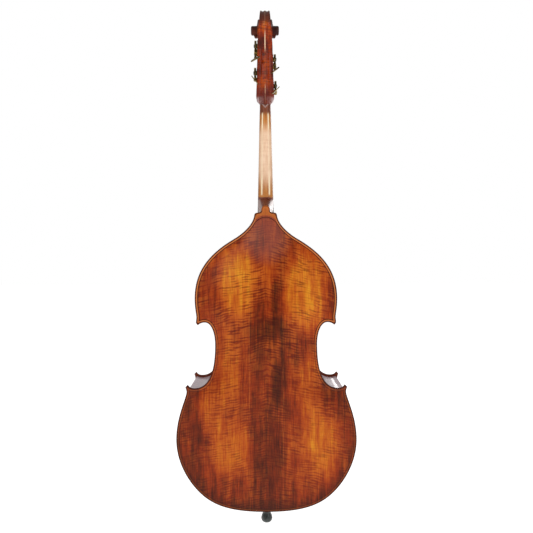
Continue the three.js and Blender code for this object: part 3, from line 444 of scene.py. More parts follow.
class Look:
    """A material built node by node."""

    def __init__(self, name, roughness=0.4, metallic=0, coat=0, coat_rough=0.2, specular=0.5):
        self.mat = bpy.data.materials.new(name)
        self.mat.use_nodes = True
        self.tree = self.mat.node_tree
        self.tree.nodes.clear()
        out = self.tree.nodes.new("ShaderNodeOutputMaterial")
        self.bsdf = self.tree.nodes.new("ShaderNodeBsdfPrincipled")
        self.tree.links.new(self.bsdf.outputs[0], out.inputs[0])
        for key, value in (
            ("Roughness", roughness),
            ("Metallic", metallic),
            ("Coat Weight", coat),
            ("Coat Roughness", coat_rough),
            ("Specular IOR Level", specular),
        ):
            self.bsdf.inputs[key].default_value = value
        self.spot = self.node("ShaderNodeTexCoord").outputs["Object"]
        self.spot = self.scaled((1, 1, 1), (0, 0, LOWERED * MM))

    def node(self, kind, links=(), **settings):
        made = self.tree.nodes.new(kind)
        for key, value in settings.items():
            setattr(made, key, value)
        for key, value in dict(links).items():
            if isinstance(value, bpy.types.NodeSocket):
                self.tree.links.new(value, made.inputs[key])
            else:
                made.inputs[key].default_value = value
        return made

    def scaled(self, scale, move=(0, 0, 0)):
        return self.node(
            "ShaderNodeMapping",
            {"Vector": self.spot, "Scale": scale, "Location": move},
        ).outputs[0]

    def noise(self, vector, detail, rough=0.5):
        return self.node(
            "ShaderNodeTexNoise",
            {"Vector": vector, "Scale": 1, "Detail": detail, "Roughness": rough},
        ).outputs["Fac"]

    def math(self, how, a, b=0.0, c=0.0, clamp=False):
        return self.node("ShaderNodeMath", {0: a, 1: b, 2: c}, operation=how, use_clamp=clamp).outputs[0]

    def times(self, a, b):
        return self.math("MULTIPLY", a, b)

    def plus(self, a, b, clamp=False):
        return self.math("ADD", a, b, clamp=clamp)

    def minus(self, a, b):
        return self.math("SUBTRACT", a, b)

    def range(self, value, low, high, to_low=0.0, to_high=1.0):
        return self.node(
            "ShaderNodeMapRange",
            {"Value": value, "From Min": low, "From Max": high, "To Min": to_low, "To Max": to_high},
            interpolation_type="SMOOTHSTEP",
        ).outputs[0]

    def mix(self, fac, a, b):
        """Two colours mixed; each is a socket or a tone of three numbers up to 255."""
        a, b = (srgb(*c) if isinstance(c, tuple) else c for c in (a, b))
        return self.node("ShaderNodeMix", {0: fac, 6: a, 7: b}, data_type="RGBA").outputs[2]

    def over(self, colour, tone, mask, share=None):
        """A tone laid over a colour where the mask is 1, as strongly as its share."""
        return self.mix(mask if share is None else self.times(mask, share), colour, tone)

    def ramp(self, fac, stops):
        made = self.node("ShaderNodeValToRGB", {"Fac": fac})
        elements = made.color_ramp.elements
        while len(elements) < len(stops):
            elements.new(1)
        for element, (at, colour) in zip(elements, stops):
            element.position = at
            element.color = srgb(*colour)
        return made.outputs[0]

    def value(self, key):
        return self.node("ShaderNodeAttribute", attribute_name=key).outputs["Fac"]

    def axes(self):
        return self.node("ShaderNodeSeparateXYZ", {0: self.spot}).outputs

    def absolute(self, a):
        return self.math("ABSOLUTE", a)

    def vector(self, x, y, z):
        return self.node("ShaderNodeCombineXYZ", {0: x, 1: y, 2: z}).outputs[0]

    def blob(self, axes, centre, size):
        """1 at a place on the plate, falling to 0 at an ellipse round it."""
        dx = self.math("DIVIDE", self.minus(axes[0], centre[0]), size[0])
        dz = self.math("DIVIDE", self.minus(axes[2], centre[1]), size[1])
        r2 = self.plus(self.times(dx, dx), self.times(dz, dz))
        return self.range(r2, 1.0, 0.0)

    def colour(self, socket):
        self.tree.links.new(socket, self.bsdf.inputs["Base Color"])
        return self

    def rough(self, socket):
        self.tree.links.new(socket, self.bsdf.inputs["Roughness"])
        return self

    def bump(self, height, depth, strength=1.0):
        made = self.node("ShaderNodeBump", {"Height": height, "Distance": depth * MM, "Strength": strength})
        self.tree.links.new(made.outputs[0], self.bsdf.inputs["Normal"])
        return self


# lighter and darker places of the back: place (across, up), size, strength
BACK_TONES = [
    ((0.098, 0.94), (0.09, 0.17), 0.46),
    ((-0.145, 0.905), (0.1, 0.19), 0.42),
    ((0.132, 0.345), (0.09, 0.14), 0.32),
    ((-0.198, 0.355), (0.085, 0.17), 0.36),
    ((0.2, 0.49), (0.06, 0.12), 0.26),
    ((-0.155, 0.56), (0.055, 0.16), 0.2),
    ((0.14, 0.62), (0.05, 0.18), 0.24),
    ((0.012, 1.05), (0.055, 0.1), -0.06),
    ((-0.046, 0.88), (0.028, 0.13), -0.17),
    ((0.036, 0.93), (0.028, 0.13), -0.14),
    ((0.0, 0.9), (0.02, 0.16), 0.1),
    ((-0.02, 0.775), (0.09, 0.055), -0.2),
    ((-0.05, 0.6), (0.04, 0.13), -0.26),
    ((0.03, 0.68), (0.04, 0.1), -0.12),
    ((0.215, 0.9), (0.06, 0.16), -0.06),
    ((-0.24, 0.5), (0.06, 0.1), -0.14),
    ((-0.085, 0.49), (0.04, 0.06), -0.16),
    ((0.24, 0.4), (0.06, 0.06), -0.08),
    ((0.275, 0.3), (0.07, 0.2), -0.14),
    ((0.0, 0.98), (0.05, 0.09), 0.19),
    ((-0.12, 0.7), (0.06, 0.09), -0.14),
    ((0.0, 0.33), (0.08, 0.17), -0.04),
    ((-0.235, 0.9), (0.05, 0.14), -0.12),
    ((0.0, 0.62), (0.07, 0.16), 0.06),
]


def flamed(look, slanted, along, across, spacing, crowd=0.0):
    """Flames of maple: short lines that run across the grain. Returns their strength from 0 to 1."""
    sway = look.noise(look.vector(look.times(across, 10), look.times(along, 8), crowd), 2, 0.5)
    bent = look.plus(slanted, look.times(sway, 0.026))
    wave = look.math("SINE", look.times(bent, 2 * math.pi / spacing))
    place = look.vector(look.times(across, 27), look.times(bent, 1.2 / spacing), 0.3)
    broken = look.noise(place, 1.5, 0.5)
    both = look.plus(look.times(wave, 0.1), broken)
    return look.range(both, 0.48, 0.68)


def back_maple():
    look = Look("maple_back", 0.36, coat=0.08, coat_rough=0.2, specular=0.1)
    axes = look.axes()
    half = look.absolute(axes[0])
    # streaks that run the length of the back, and mottled spots
    streak = look.noise(look.vector(look.times(axes[0], 64), 0.4, look.times(axes[2], 5.5)), 4, 0.62)
    fine = look.noise(look.vector(look.times(axes[0], 240), 0.0, look.times(axes[2], 16)), 3, 0.6)
    mottle = look.noise(look.scaled((30, 1, 16), (5.3, 0, 2.9)), 4, 0.62)
    # varnish worn thin over the bouts and gathered along the middle
    level = 0.43
    for centre, size, share in BACK_TONES:
        level = look.plus(look.times(look.blob(axes, centre, size), share), level)
    band = look.times(look.range(half, 0.085, 0.035), look.range(axes[2], 1.1, 0.72))
    level = look.plus(level, look.times(band, -0.14))
    level = look.plus(level, look.range(axes[2], 0.27, 0.13, 0, -0.1))
    edge = look.value("rim")
    low_half = look.range(axes[2], 0.66, 0.5)
    level = look.plus(level, look.times(look.range(edge, 60, 12), look.times(low_half, -0.16)))
    level = look.plus(level, look.times(low_half, -0.035))
    for noise, share in ((streak, 0.8), (mottle, 0.46), (fine, 0.62)):
        level = look.plus(level, look.times(look.minus(noise, 0.5), share))
    colour = look.ramp(
        look.plus(level, 0, clamp=True),
        [
            (0.0, (66, 17, 3)),
            (0.2, (103, 31, 4)),
            (0.4, (140, 44, 6)),
            (0.6, (170, 68, 12)),
            (0.8, (194, 101, 18)),
            (1.0, (216, 138, 28)),
        ],
    )
    # the two long lines beside the middle, pale outside and dark inside
    wander = look.times(look.minus(mottle, 0.5), 0.004)
    beside = look.plus(half, wander)
    fade_above = look.range(axes[2], 0.98, 0.8, 0.15, 1.0)
    through = look.times(fade_above, look.range(axes[2], 0.2, 0.5, 0.35, 1.0))
    dark_line = look.times(look.range(look.absolute(look.minus(beside, 0.0545)), 0.0042, 0.001), through)
    colour = look.over(colour, (58, 24, 12), dark_line, look.range(streak, 0.6, 0.4, 0.05, 0.5))
    pale_line = look.times(look.range(look.absolute(look.minus(half, 0.061)), 0.0024, 0.0004), through)
    colour = look.over(colour, (184, 104, 46), pale_line, look.range(fine, 0.38, 0.62, 0.0, 0.34))
    # flames
    flame = flamed(look, look.plus(axes[2], look.times(half, 0.2)), axes[2], axes[0], 0.0094)
    patch = look.range(look.noise(look.scaled((15, 1, 9), (0.7, 0, 4.2)), 3, 0.6), 0.38, 0.62, 0.2, 1.0)
    patch = look.times(patch, look.range(axes[2], 0.46, 0.66, 0.72, 1.0))
    colour = look.over(colour, (62, 18, 5), look.times(flame, patch), 0.52)
    calm = look.times(look.times(look.range(flame, 0.3, 0.0), patch), look.range(level, 0.1, 0.5, 0.25, 1.0))
    colour = look.over(colour, (236, 146, 50), calm, 0.16)
    # the edge: dark nose, a painted highlight on the rounding that is strongest on the upper bout, then the
    # inlaid line
    edge_highlight_share = look.range(axes[2], 0.66, 0.86, 0.14, 0.9)
    tan = look.times(look.range(edge, 4.6, 6.0), look.range(edge, 9.6, 8.4))
    colour = look.over(colour, (198, 118, 62), tan, edge_highlight_share)
    # painted reflection: a grey patch on the upper back below the button
    colour = look.over(colour, (140, 96, 90), look.blob(axes, (0, 1.11), (0.11, 0.12)), 0.34)
    inlay = look.value("inlay")
    shoulder = look.range(inlay, 6.0, 2.0)
    above = look.times(shoulder, look.range(axes[2], 1.14, 1.17))
    colour = look.over(colour, (180, 98, 42), above, 0.8)
    line = look.times(look.range(inlay, 9.2, 10.0), look.range(inlay, 12.6, 11.8))
    colour = look.over(colour, (54, 18, 10), line, look.range(axes[2], 0.6, 0.8, 0.55, 0.95))
    nose = look.times(look.range(edge, 5.8, 4.2), look.range(axes[2], 1.215, 1.2, 0.4, 1.0))
    colour = look.over(colour, (62, 22, 8), nose, 0.85)
    seam = look.range(half, 0.0007, 0.0002)
    colour = look.over(colour, (60, 26, 14), seam, 0.4)
    look.colour(colour)
    worn = look.noise(look.scaled((40, 40, 40)), 4)
    look.rough(look.plus(look.range(worn, 0.3, 0.75, 0.27, 0.42), look.range(edge, 7, 4, 0, 0.3)))
    height = look.plus(look.times(flame, 0.4), look.plus(look.times(fine, 0.4), worn))
    return look.bump(height, 0.14, 0.45).mat


def rib_maple():
    look = Look("maple_ribs", 0.34, coat=0.9, coat_rough=0.1, specular=0.14)
    axes = look.axes()
    look.bsdf.inputs["Coat IOR"].default_value = 1.9
    metres = look.times(look.value("along"), MM)
    flame = flamed(look, look.plus(metres, look.times(axes[1], 0.2)), metres, axes[1], 0.0105, 3.0)
    grain = look.noise(look.vector(look.times(metres, 5), look.times(axes[1], 150), 0.0), 4, 0.6)
    mottle = look.noise(look.vector(look.times(metres, 14), look.times(axes[1], 22), 2.0), 4, 0.6)
    level = look.plus(look.times(grain, 0.4), look.times(mottle, 0.65))
    colour = look.ramp(
        level,
        [(0.25, (84, 24, 6)), (0.5, (132, 44, 8)), (0.72, (168, 70, 12)), (0.92, (198, 104, 22))],
    )
    colour = look.over(colour, (74, 27, 12), flame, 0.5)
    colour = look.over(colour, (232, 140, 50), look.range(flame, 0.4, 0.0, 0, 0.12))
    # a painted grey reflection on the lower ends of the waist, where the coat is thicker too
    rib_gloss_and_painted_reflection = look.times(look.range(axes[2], 0.614, 0.562), look.range(axes[2], 0.536, 0.546))
    rib_gloss_and_painted_reflection = look.times(rib_gloss_and_painted_reflection, look.range(look.absolute(axes[0]), 0.18, 0.215))
    colour = look.over(colour, (228, 216, 224), rib_gloss_and_painted_reflection, 0.88)
    look.tree.links.new(look.plus(look.times(rib_gloss_and_painted_reflection, 0.82), 0.08), look.bsdf.inputs["Coat Weight"])
    near = look.math("MINIMUM", look.plus(axes[1], 0.1), look.minus(0.1, axes[1]))
    colour = look.over(colour, (80, 30, 15), look.range(near, 0.018, 0.0, 0, 0.5))
    look.colour(colour)
    worn = look.noise(look.scaled((50, 50, 50)), 3)
    look.rough(look.range(worn, 0.3, 0.75, 0.24, 0.4))
    return look.bump(look.plus(look.times(flame, 0.5), grain), 0.14, 0.45).mat


def spruce():
    look = Look("spruce_top", 0.38, coat=0.08, coat_rough=0.2, specular=0.12)
    axes = look.axes()
    half = look.absolute(axes[0])
    drift = look.noise(look.scaled((4, 1, 1.5)), 2)
    across = look.plus(look.times(half, 1), look.times(drift, 0.006))
    rings = look.noise(
        look.vector(look.times(across, 420), 0.0, look.times(axes[2], 1.5)), 2, 0.6
    )
    cloud = look.noise(look.scaled((5, 1, 3), (1, 0, 2)), 3)
    bear = look.noise(look.scaled((60, 1, 14), (2, 0, 5)), 3)
    upper_glow = look.blob(axes, (0, 0.95), (0.24, 0.26))
    glow = look.math("MAXIMUM", upper_glow, look.blob(axes, (0, 0.4), (0.3, 0.3)))
    level = look.plus(look.times(glow, 0.34), look.times(cloud, 0.55))
    colour = look.ramp(
        level,
        [(0.15, (102, 32, 6)), (0.45, (142, 56, 10)), (0.7, (174, 86, 16)), (0.95, (200, 118, 30))],
    )
    colour = look.over(colour, (110, 48, 20), look.range(rings, 0.5, 0.68, 0, 0.5))
    colour = look.over(colour, (220, 148, 66), look.range(bear, 0.55, 0.75, 0, 0.12))
    edge = look.value("rim")
    colour = look.over(colour, (104, 30, 8), look.range(edge, 40, 7, 0, 0.45))
    colour = look.over(colour, (104, 66, 52), look.range(edge, 5.7, 3.5, 0, 0.7))
    inlay = look.value("inlay")
    black = look.times(look.range(inlay, 9.2, 9.8), look.range(inlay, 12.6, 12.0))
    colour = look.over(colour, (40, 20, 12), black, 0.88)
    white = look.times(look.range(inlay, 10.3, 10.6), look.range(inlay, 11.5, 11.2))
    colour = look.over(colour, (196, 146, 84), white, 0.55)
    seam = look.range(half, 0.0006, 0.0002)
    colour = look.over(colour, (70, 34, 16), seam, 0.5)
    look.colour(colour)
    worn = look.noise(look.scaled((45, 45, 45)), 4)
    look.rough(look.range(worn, 0.3, 0.75, 0.28, 0.46))
    return look.bump(look.plus(rings, look.times(worn, 0.6)), 0.16, 0.55).mat


def neck_maple():
    look = Look("maple_neck", 0.42, coat=0.12, coat_rough=0.34, specular=0.22)
    axes = look.axes()
    half = look.absolute(axes[0])
    grain = look.noise(look.scaled((160, 160, 4)), 4, 0.6)
    flame = look.range(look.noise(look.scaled((14, 14, 120)), 2), 0.4, 0.66)
    cloud = look.noise(look.scaled((16, 16, 12)), 4, 0.6)
    level = look.plus(look.times(grain, 0.6), look.times(cloud, 0.4))
    pale = look.ramp(level, [(0.25, (208, 164, 128)), (0.5, (234, 198, 166)), (0.8, (246, 216, 190))])
    pale = look.mix(look.times(flame, 0.16), pale, (196, 140, 98))
    honey = look.mix(look.range(level, 0.3, 0.7), (164, 94, 40), (206, 138, 64))
    dark = look.mix(look.range(level, 0.3, 0.7), (84, 36, 16), (134, 68, 34))
    height = look.plus(axes[2], look.times(look.minus(cloud, 0.5), 0.02))
    stained = look.math("MAXIMUM", look.range(height, 1.385, 1.3), look.range(height, 1.515, 1.585))
    colour = look.mix(stained, pale, honey)
    colour = look.mix(look.range(height, 1.59, 1.616), colour, dark)
    # painted shade: both edges of the neck are darker, a honey brown
    share = look.math("DIVIDE", half, look.plus(look.times(look.minus(1.646, axes[2]), 0.0282), 0.02175))
    ends = look.math("MAXIMUM", look.range(height, 1.4, 1.33), look.range(height, 1.53, 1.57))
    stain = look.times(look.range(share, 0.66, 0.93), look.range(height, 1.61, 1.59))
    colour = look.over(colour, (158, 100, 40), stain, look.range(ends, 0, 1, 0.35, 0.75))
    # painted highlight: two pale stripes at both ends
    painted_highlight_stripes = look.range(look.absolute(look.minus(share, 0.5)), 0.15, 0.04)
    painted_highlight_stripes = look.times(painted_highlight_stripes, look.times(look.range(height, 1.612, 1.6), look.range(height, 1.289, 1.3)))
    colour = look.over(colour, (255, 242, 206), painted_highlight_stripes, look.range(ends, 0, 1, 0.25, 0.8))
    # the varnish ends in a point below the pegbox, with a painted grey highlight along the point's edge
    point = look.minus(axes[2], look.plus(look.times(half, 1.08), 0.004))
    colour = look.over(colour, (86, 40, 28), look.range(point, 1.626, 1.632, 0, 0.85))
    rim = look.times(look.range(point, 1.62, 1.624), look.range(point, 1.631, 1.627))
    colour = look.over(colour, (190, 172, 168), rim, 0.42)
    heel = look.mix(look.range(level, 0.3, 0.7), (66, 24, 14), (138, 74, 52))
    colour = look.mix(look.range(height, 1.288, 1.282), colour, heel)
    # the hollow sides of the heel get a painted pale reflection and a thicker coat
    heel_gloss_and_painted_reflection = look.minus(half, look.times(look.minus(axes[2], 1.235), 0.2))
    heel_gloss_and_painted_reflection = look.times(look.range(heel_gloss_and_painted_reflection, 0.0128, 0.0165), look.range(height, 1.279, 1.27))
    colour = look.over(colour, (200, 176, 166), heel_gloss_and_painted_reflection, 0.42)
    look.colour(colour)
    look.tree.links.new(look.plus(look.times(heel_gloss_and_painted_reflection, 0.5), 0.12), look.bsdf.inputs["Coat Weight"])
    look.bsdf.inputs["Coat IOR"].default_value = 1.7
    look.rough(look.range(grain, 0.3, 0.75, 0.32, 0.5))
    return look.bump(grain, 0.1, 0.4).mat


# lighter and darker places of the scroll: place (across, up), size, strength. The first, over the crown, is a
# painted highlight; the others are blotches in the varnish
SCROLL_TONES = [
    ((0, 1.88), (0.05, 0.034), 0.16),
    ((0.003, 1.806), (0.01, 0.008), -0.24),
    ((0.003, 1.722), (0.01, 0.007), -0.22),
    ((-0.018, 1.85), (0.012, 0.05), 0.14),
    ((-0.016, 1.76), (0.01, 0.05), 0.08),
    ((0.012, 1.84), (0.008, 0.05), -0.14),
    ((0.01, 1.71), (0.02, 0.04), 0.06),
]


def scroll_maple():
    look = Look("maple_scroll", 0.34, coat=0.08, coat_rough=0.16, specular=0.1)
    axes = look.axes()
    half = look.absolute(axes[0])
    grain = look.noise(look.scaled((130, 60, 14)), 4, 0.6)
    flame = flamed(look, axes[2], axes[2], axes[0], 0.009, 5.0)
    blot = look.noise(look.scaled((34, 20, 18), (1.2, 0, 6.4)), 3, 0.55)
    level = look.plus(look.times(look.minus(grain, 0.5), 0.5), look.times(look.minus(blot, 0.5), 1.15))
    level = look.plus(level, look.range(half, 0.03, 0.0, 0.43, 0.46))
    for centre, size, share in SCROLL_TONES:
        level = look.plus(level, look.times(look.blob(axes, centre, size), share))
    colour = look.ramp(
        look.plus(level, 0, clamp=True),
        [
            (0.0, (44, 10, 2)),
            (0.25, (86, 21, 4)),
            (0.5, (136, 42, 6)),
            (0.72, (176, 72, 10)),
            (1.0, (206, 116, 22)),
        ],
    )
    colour = look.over(colour, (60, 18, 6), flame, 0.45)
    # the crown, the ears and the chin are darker and greyer
    crown = look.range(axes[2], 1.886, 1.915)
    colour = look.over(colour, (72, 44, 36), crown, 0.75)
    ears = look.range(half, 0.0255, 0.03)
    colour = look.over(colour, (44, 24, 20), ears, look.times(0.8, look.range(axes[2], 1.8, 1.83)))
    chin = look.range(axes[2], 1.715, 1.668)
    colour = look.over(colour, (82, 34, 32), chin, 0.6)
    # painted highlight along the ridge, strongest at two spots; painted reflections on the low corners
    painted_ridge_highlight = look.range(look.plus(half, look.times(look.minus(blot, 0.5), 0.005)), 0.002, 0.0004)
    low_ridge_highlight_spot = look.blob(axes, (0, 1.684), (0.02, 0.02))
    ridge_highlight_spots = look.math("MAXIMUM", look.blob(axes, (0, 1.845), (0.02, 0.034)), low_ridge_highlight_spot)
    colour = look.over(colour, (240, 206, 170), painted_ridge_highlight, look.plus(look.times(ridge_highlight_spots, 0.7), 0.12))
    # painted reflection on both low corners of the pegbox
    corner = look.times(look.range(half, 0.0225, 0.026), look.range(axes[2], 1.657, 1.65))
    colour = look.over(colour, (186, 170, 172), corner, 0.55)
    # painted highlight on the chin on both sides of the middle
    painted_chin_highlight = look.times(look.range(half, 0.004, 0.009), look.range(axes[2], 1.662, 1.65))
    colour = look.over(colour, (168, 142, 138), painted_chin_highlight, look.range(grain, 0.35, 0.6, 0.05, 0.34))
    look.colour(colour)
    worn = look.noise(look.scaled((60, 60, 60)), 3)
    look.rough(look.plus(look.range(worn, 0.3, 0.75, 0.22, 0.36), look.range(half, 0.018, 0.026, 0, 0.16)))
    return look.bump(look.plus(grain, look.times(flame, 0.4)), 0.14, 0.45).mat


def plain_wood(name, low, high, grain_scale, roughness, coat=0.0, depth=0.15):
    look = Look(name, roughness, coat=coat, specular=0.22)
    grain = look.noise(look.scaled(grain_scale), 5, 0.62)
    cloud = look.noise(look.scaled((14, 14, 14)), 3)
    level = look.plus(look.times(grain, 0.65), look.times(cloud, 0.35))
    look.colour(look.mix(look.range(level, 0.32, 0.68), low, high))
    look.rough(look.range(grain, 0.3, 0.7, roughness - 0.08, roughness + 0.1))
    return look.bump(grain, depth, 0.5).mat


def metal(name, bright, dull, roughness, depth=0.05):
    look = Look(name, roughness, metallic=1)
    stain = look.noise(look.scaled((70, 70, 70)), 5, 0.65)
    brush = look.noise(look.scaled((220, 220, 40)), 2)
    look.colour(look.mix(look.range(stain, 0.36, 0.62), dull, bright))
    mixed = look.plus(look.times(stain, 0.6), look.times(brush, 0.4))
    look.rough(look.range(mixed, 0.7, 0.3, roughness - 0.08, roughness + 0.16))
    return look.bump(mixed, depth, 0.5).mat


def wound_string():
    look = Look("string_wound", 0.34, metallic=1)
    along = look.value("along")
    wraps = look.math("SINE", look.times(along, 2 * math.pi / 1.1))
    silk = look.value("silk")
    dirt = look.noise(look.scaled((90, 90, 90)), 3)
    steel = look.mix(look.range(dirt, 0.35, 0.65), (126, 126, 128), (176, 177, 180))
    steel = look.mix(look.range(wraps, -0.2, -1, 0, 0.5), steel, (70, 70, 74))
    threads = look.math("SINE", look.times(along, 2 * math.pi / 0.7))
    thread = look.mix(look.range(threads, -1, 1), (66, 16, 22), (118, 34, 40))
    look.colour(look.mix(silk, steel, thread))
    look.tree.links.new(look.range(silk, 0, 1, 1, 0), look.bsdf.inputs["Metallic"])
    look.rough(look.range(silk, 0, 1, 0.32, 0.8))
    return look.bump(wraps, 0.06, 0.6).mat


def rubber_look():
    look = Look("rubber", 0.38, coat=0.5, coat_rough=0.2, specular=0.5)
    dust = look.noise(look.scaled((130, 130, 130)), 5, 0.7)
    wide = look.noise(look.scaled((35, 35, 35)), 3)
    colour = look.mix(look.range(wide, 0.35, 0.65), (24, 32, 29), (44, 54, 50))
    colour = look.over(colour, (100, 100, 96), look.range(look.axes()[2], 0.014, 0.008, 0, 0.6))
    look.colour(colour)
    look.rough(look.range(dust, 0.3, 0.7, 0.32, 0.52))
    return look.bump(dust, 0.1, 0.4).mat


BACK = back_maple()
RIBS = rib_maple()
TOP = spruce()
NECK = neck_maple()
SCROLL = scroll_maple()
EBONY = plain_wood("ebony", (10, 8, 7), (26, 21, 19), (190, 190, 7), 0.38, coat=0.08, depth=0.08)
RAW = plain_wood("raw_spruce", (196, 158, 108), (226, 196, 150), (120, 120, 7), 0.6)
BRIDGE = plain_wood("bridge_maple", (184, 134, 82), (216, 172, 118), (150, 20, 30), 0.5, coat=0.1)
DARK_PLUG = plain_wood("plug_ebony", (22, 17, 15), (46, 36, 31), (160, 160, 9), 0.34, coat=0.2, depth=0.08)
BRASS = metal("brass_aged", (150, 130, 82), (74, 64, 40), 0.34)
BRASS_DARK = metal("brass_plate", (204, 172, 98), (108, 92, 48), 0.36)
STEEL = metal("steel_satin", (182, 184, 188), (132, 134, 138), 0.26)
CABLE = metal("steel_cable", (150, 152, 156), (84, 86, 90), 0.34, 0.1)
STRING = wound_string()
RUBBER = rubber_look()

# ---- plates ----
arch_line = traced((40, ARCH_LOW), ARCH_EDGE)
arch_heights = [p[1] for p in arch_line]
arch_halves = [p[0] for p in arch_line]


def arch_at(x, height):
    if not ARCH_LOW < height < ARCH_HIGH:
        return 0
    half = np.interp(height, arch_heights, arch_halves)
    if abs(x) >= half:
        return 0
    along = abs(2 * (height - ARCH_LOW) / (ARCH_HIGH - ARCH_LOW) - 1)
    return (1 - along**2.6) ** 1.2 * (1 - (x / half) ** 2) ** 1.5


lower_bout = traced((0, 0), LOWER_BOUT)
lower_corner = traced((292.5, 442), LOWER_CORNER)
waist = traced((263, 454), WAIST)
upper_corner = traced((226, 695), UPPER_CORNER)
upper_bout = traced((256, 712), UPPER_BOUT)
half_body = lower_bout + lower_corner[1:] + waist[1:] + upper_corner[1:] + upper_bout[1:]
crest = [(41, 1095), (38, 1098), (33, 1100), (24, 1100), (12, 1100), (0, 1100)]
button_curves = [
    (40.5, 1097.5, 37, 1100, 30, 1100, 6),
    (22, 1100.5, 16.8, 1102, 16.5, 1107, 7),
    (16.3, 1113, 15.5, 1127, 0, 1127, 10),
]
button = traced((42, 1092), button_curves)[1:]

NOSE = 3.4
UNDER = 1.8
RINGS = (0.35, 0.9, 1.8, 2.7, 3.6, 5.0)
INNER_RINGS = (7.4, 9.6, 12.2, 14.6, 18, 23, 30)
# a point of an inner ring is kept if it lies this share of the ring's distance from the outline
ON_RING = 0.985
# the faces are filled with rows of points this far apart, over a field this wide and high
GRID = 11
ROWS = 0.866 * GRID
FIELD_HALF = 336
FIELD_TOP = 1126
# hollow that runs round a plate inside its edge
CHANNEL_DEPTH = 0.9
CHANNEL_AT = 12.5
CHANNEL_WIDTH = 4.5


def plate(name, half, rim_half, faces_back, arch, holes, look, slot):
    outline = both_halves(half)
    rim = both_halves(rim_half)
    lines, keep = [], []
    for loop, offsets in ((outline, RINGS), (rim, INNER_RINGS)):
        for by in offsets:
            ring = inset(loop, by, True)
            far = distances(ring, loop)
            good = (far > by * ON_RING) & inside(ring, outline)
            for hole in holes:
                good &= ~inside(ring, hole) & (distances(ring, hole) > 1.5)
            run = []
            for p, ok in zip(ring, good):
                if ok:
                    run.append(p)
                else:
                    keep.append(run)
                    run = []
            keep.append(run)
    lines = [run for run in keep if len(run) > 1]
    grid = []
    row = 0
    y = 8.0
    while y < FIELD_TOP:
        x = -FIELD_HALF + (row % 2) * GRID / 2
        while x < FIELD_HALF:
            grid.append((x, y))
            x += GRID
        y += ROWS
        row += 1
    grid = np.array(grid)
    good = inside(grid, outline) & (distances(grid, outline) > 9)
    good &= distances(grid, rim) > 8
    deep = inside(grid, rim) & (distances(grid, rim) < INNER_RINGS[-1] + 6)
    good &= ~deep
    for hole in holes:
        good &= ~inside(grid, hole) & (distances(grid, hole) > 5)
    extra = [tuple(p) for p in grid[good]]
    for hole in holes:
        ring = inset(hole, -4, True)
        ok = distances(ring, hole) > 3.6
        extra += [p for p, k in zip(ring, ok) if k]

    def outer(x, y):
        d = float(distances([(x, y)], outline)[0])
        drop = NOSE - math.sqrt(max(0, NOSE**2 - (NOSE - d) ** 2)) if d < NOSE else 0
        rise = arch * arch_at(x, y)
        fade = 1 if rise < 6 else math.exp(-(rise - 6) / 3)
        channel = CHANNEL_DEPTH * math.exp(-(((d - CHANNEL_AT) / CHANNEL_WIDTH) ** 2)) * fade
        return EDGE - drop - channel + rise

    def inner(x, y):
        d = float(distances([(x, y)], outline)[0])
        lift = UNDER - math.sqrt(max(0, UNDER**2 - (UNDER - d) ** 2)) if d < UNDER else 0
        return max(lift, arch * arch_at(x, y) - 0.6)

    if faces_back:
        def front(x, y):
            return (x, HALF_DEPTH + lean(y) + outer(x, y), BOTTOM + y)

        def back(x, y):
            return (x, HALF_DEPTH + lean(y) + inner(x, y), BOTTOM + y)
    else:
        def front(x, y):
            return (x, -HALF_DEPTH - outer(x, y), BOTTOM + y)

        def back(x, y):
            return (x, -HALF_DEPTH - inner(x, y), BOTTOM + y)

    shape, places = cut_sheet(outline, holes, extra, lines, front, back)
    rim_far = distances(places, rim)
    sign = np.where(inside(places, rim), 1, -1)
    edge = distances(places, outline)
    values = {"rim": edge, "inlay": rim_far * sign}
    return piece(name + "_fine", shape, "instrument", slot, look, [name], 40, values=values)


# the inlaid line of the back runs over in an arch below the button
def cut_by_arch(half):
    def arch_height(x):
        return 1094 - 0.0105 * x * x

    kept = [p for p in half if p[1] < 1030 or p[1] < arch_height(p[0])]
    last = kept[-1][0]
    return kept + [(last * (1 - i / 14), arch_height(last * (1 - i / 14))) for i in range(1, 15)]


def sound_hole():
    spine = [(66, 582), (80, 588), (93, 563), (101, 485), (108, 408), (121, 381), (136, 387)]
    line = smooth_line([(x, y, 0) for x, y in spine], 4)
    left, right = [], []
    for i, p in enumerate(line):
        t = i / (len(line) - 1)
        a, b = line[max(i - 1, 0)], line[min(i + 1, len(line) - 1)]
        way = (b - a).normalized()
        half = 2.2 + 4.2 * math.sin(math.pi * t)
        left.append((p.x - way.y * half, p.y + way.x * half))
        right.append((p.x + way.y * half, p.y - way.x * half))

    def eye(cx, cy, radius, start, sweep, steps):
        return [
            (
                cx + radius * math.cos((start + sweep * i / steps) * DEG),
                cy + radius * math.sin((start + sweep * i / steps) * DEG),
            )
            for i in range(steps + 1)
        ]

    def trim(line_, cx, cy, radius):
        return [p for p in line_ if math.hypot(p[0] - cx, p[1] - cy) > radius + 0.6]

    for cx, cy, radius in ((67, 574, 9.5), (135, 397, 13.5)):
        left, right = trim(left, cx, cy, radius), trim(right, cx, cy, radius)

    def around(cx, cy, radius, from_p, to_p, clockwise):
        a = math.atan2(from_p[1] - cy, from_p[0] - cx) / DEG
        b = math.atan2(to_p[1] - cy, to_p[0] - cx) / DEG
        sweep = (b - a) % 360
        if clockwise:
            sweep -= 360
        return eye(cx, cy, radius, a, sweep, 22)

    loop = list(left)
    loop += around(135, 397, 13.5, left[-1], right[-1], False)[1:-1]
    loop += list(reversed(right))
    loop += around(67, 574, 9.5, right[0], left[0], False)[1:-1]
    area = sum(a[0] * b[1] - b[0] * a[1] for a, b in zip(loop, loop[1:] + loop[:1]))
    return loop if area > 0 else loop[::-1]


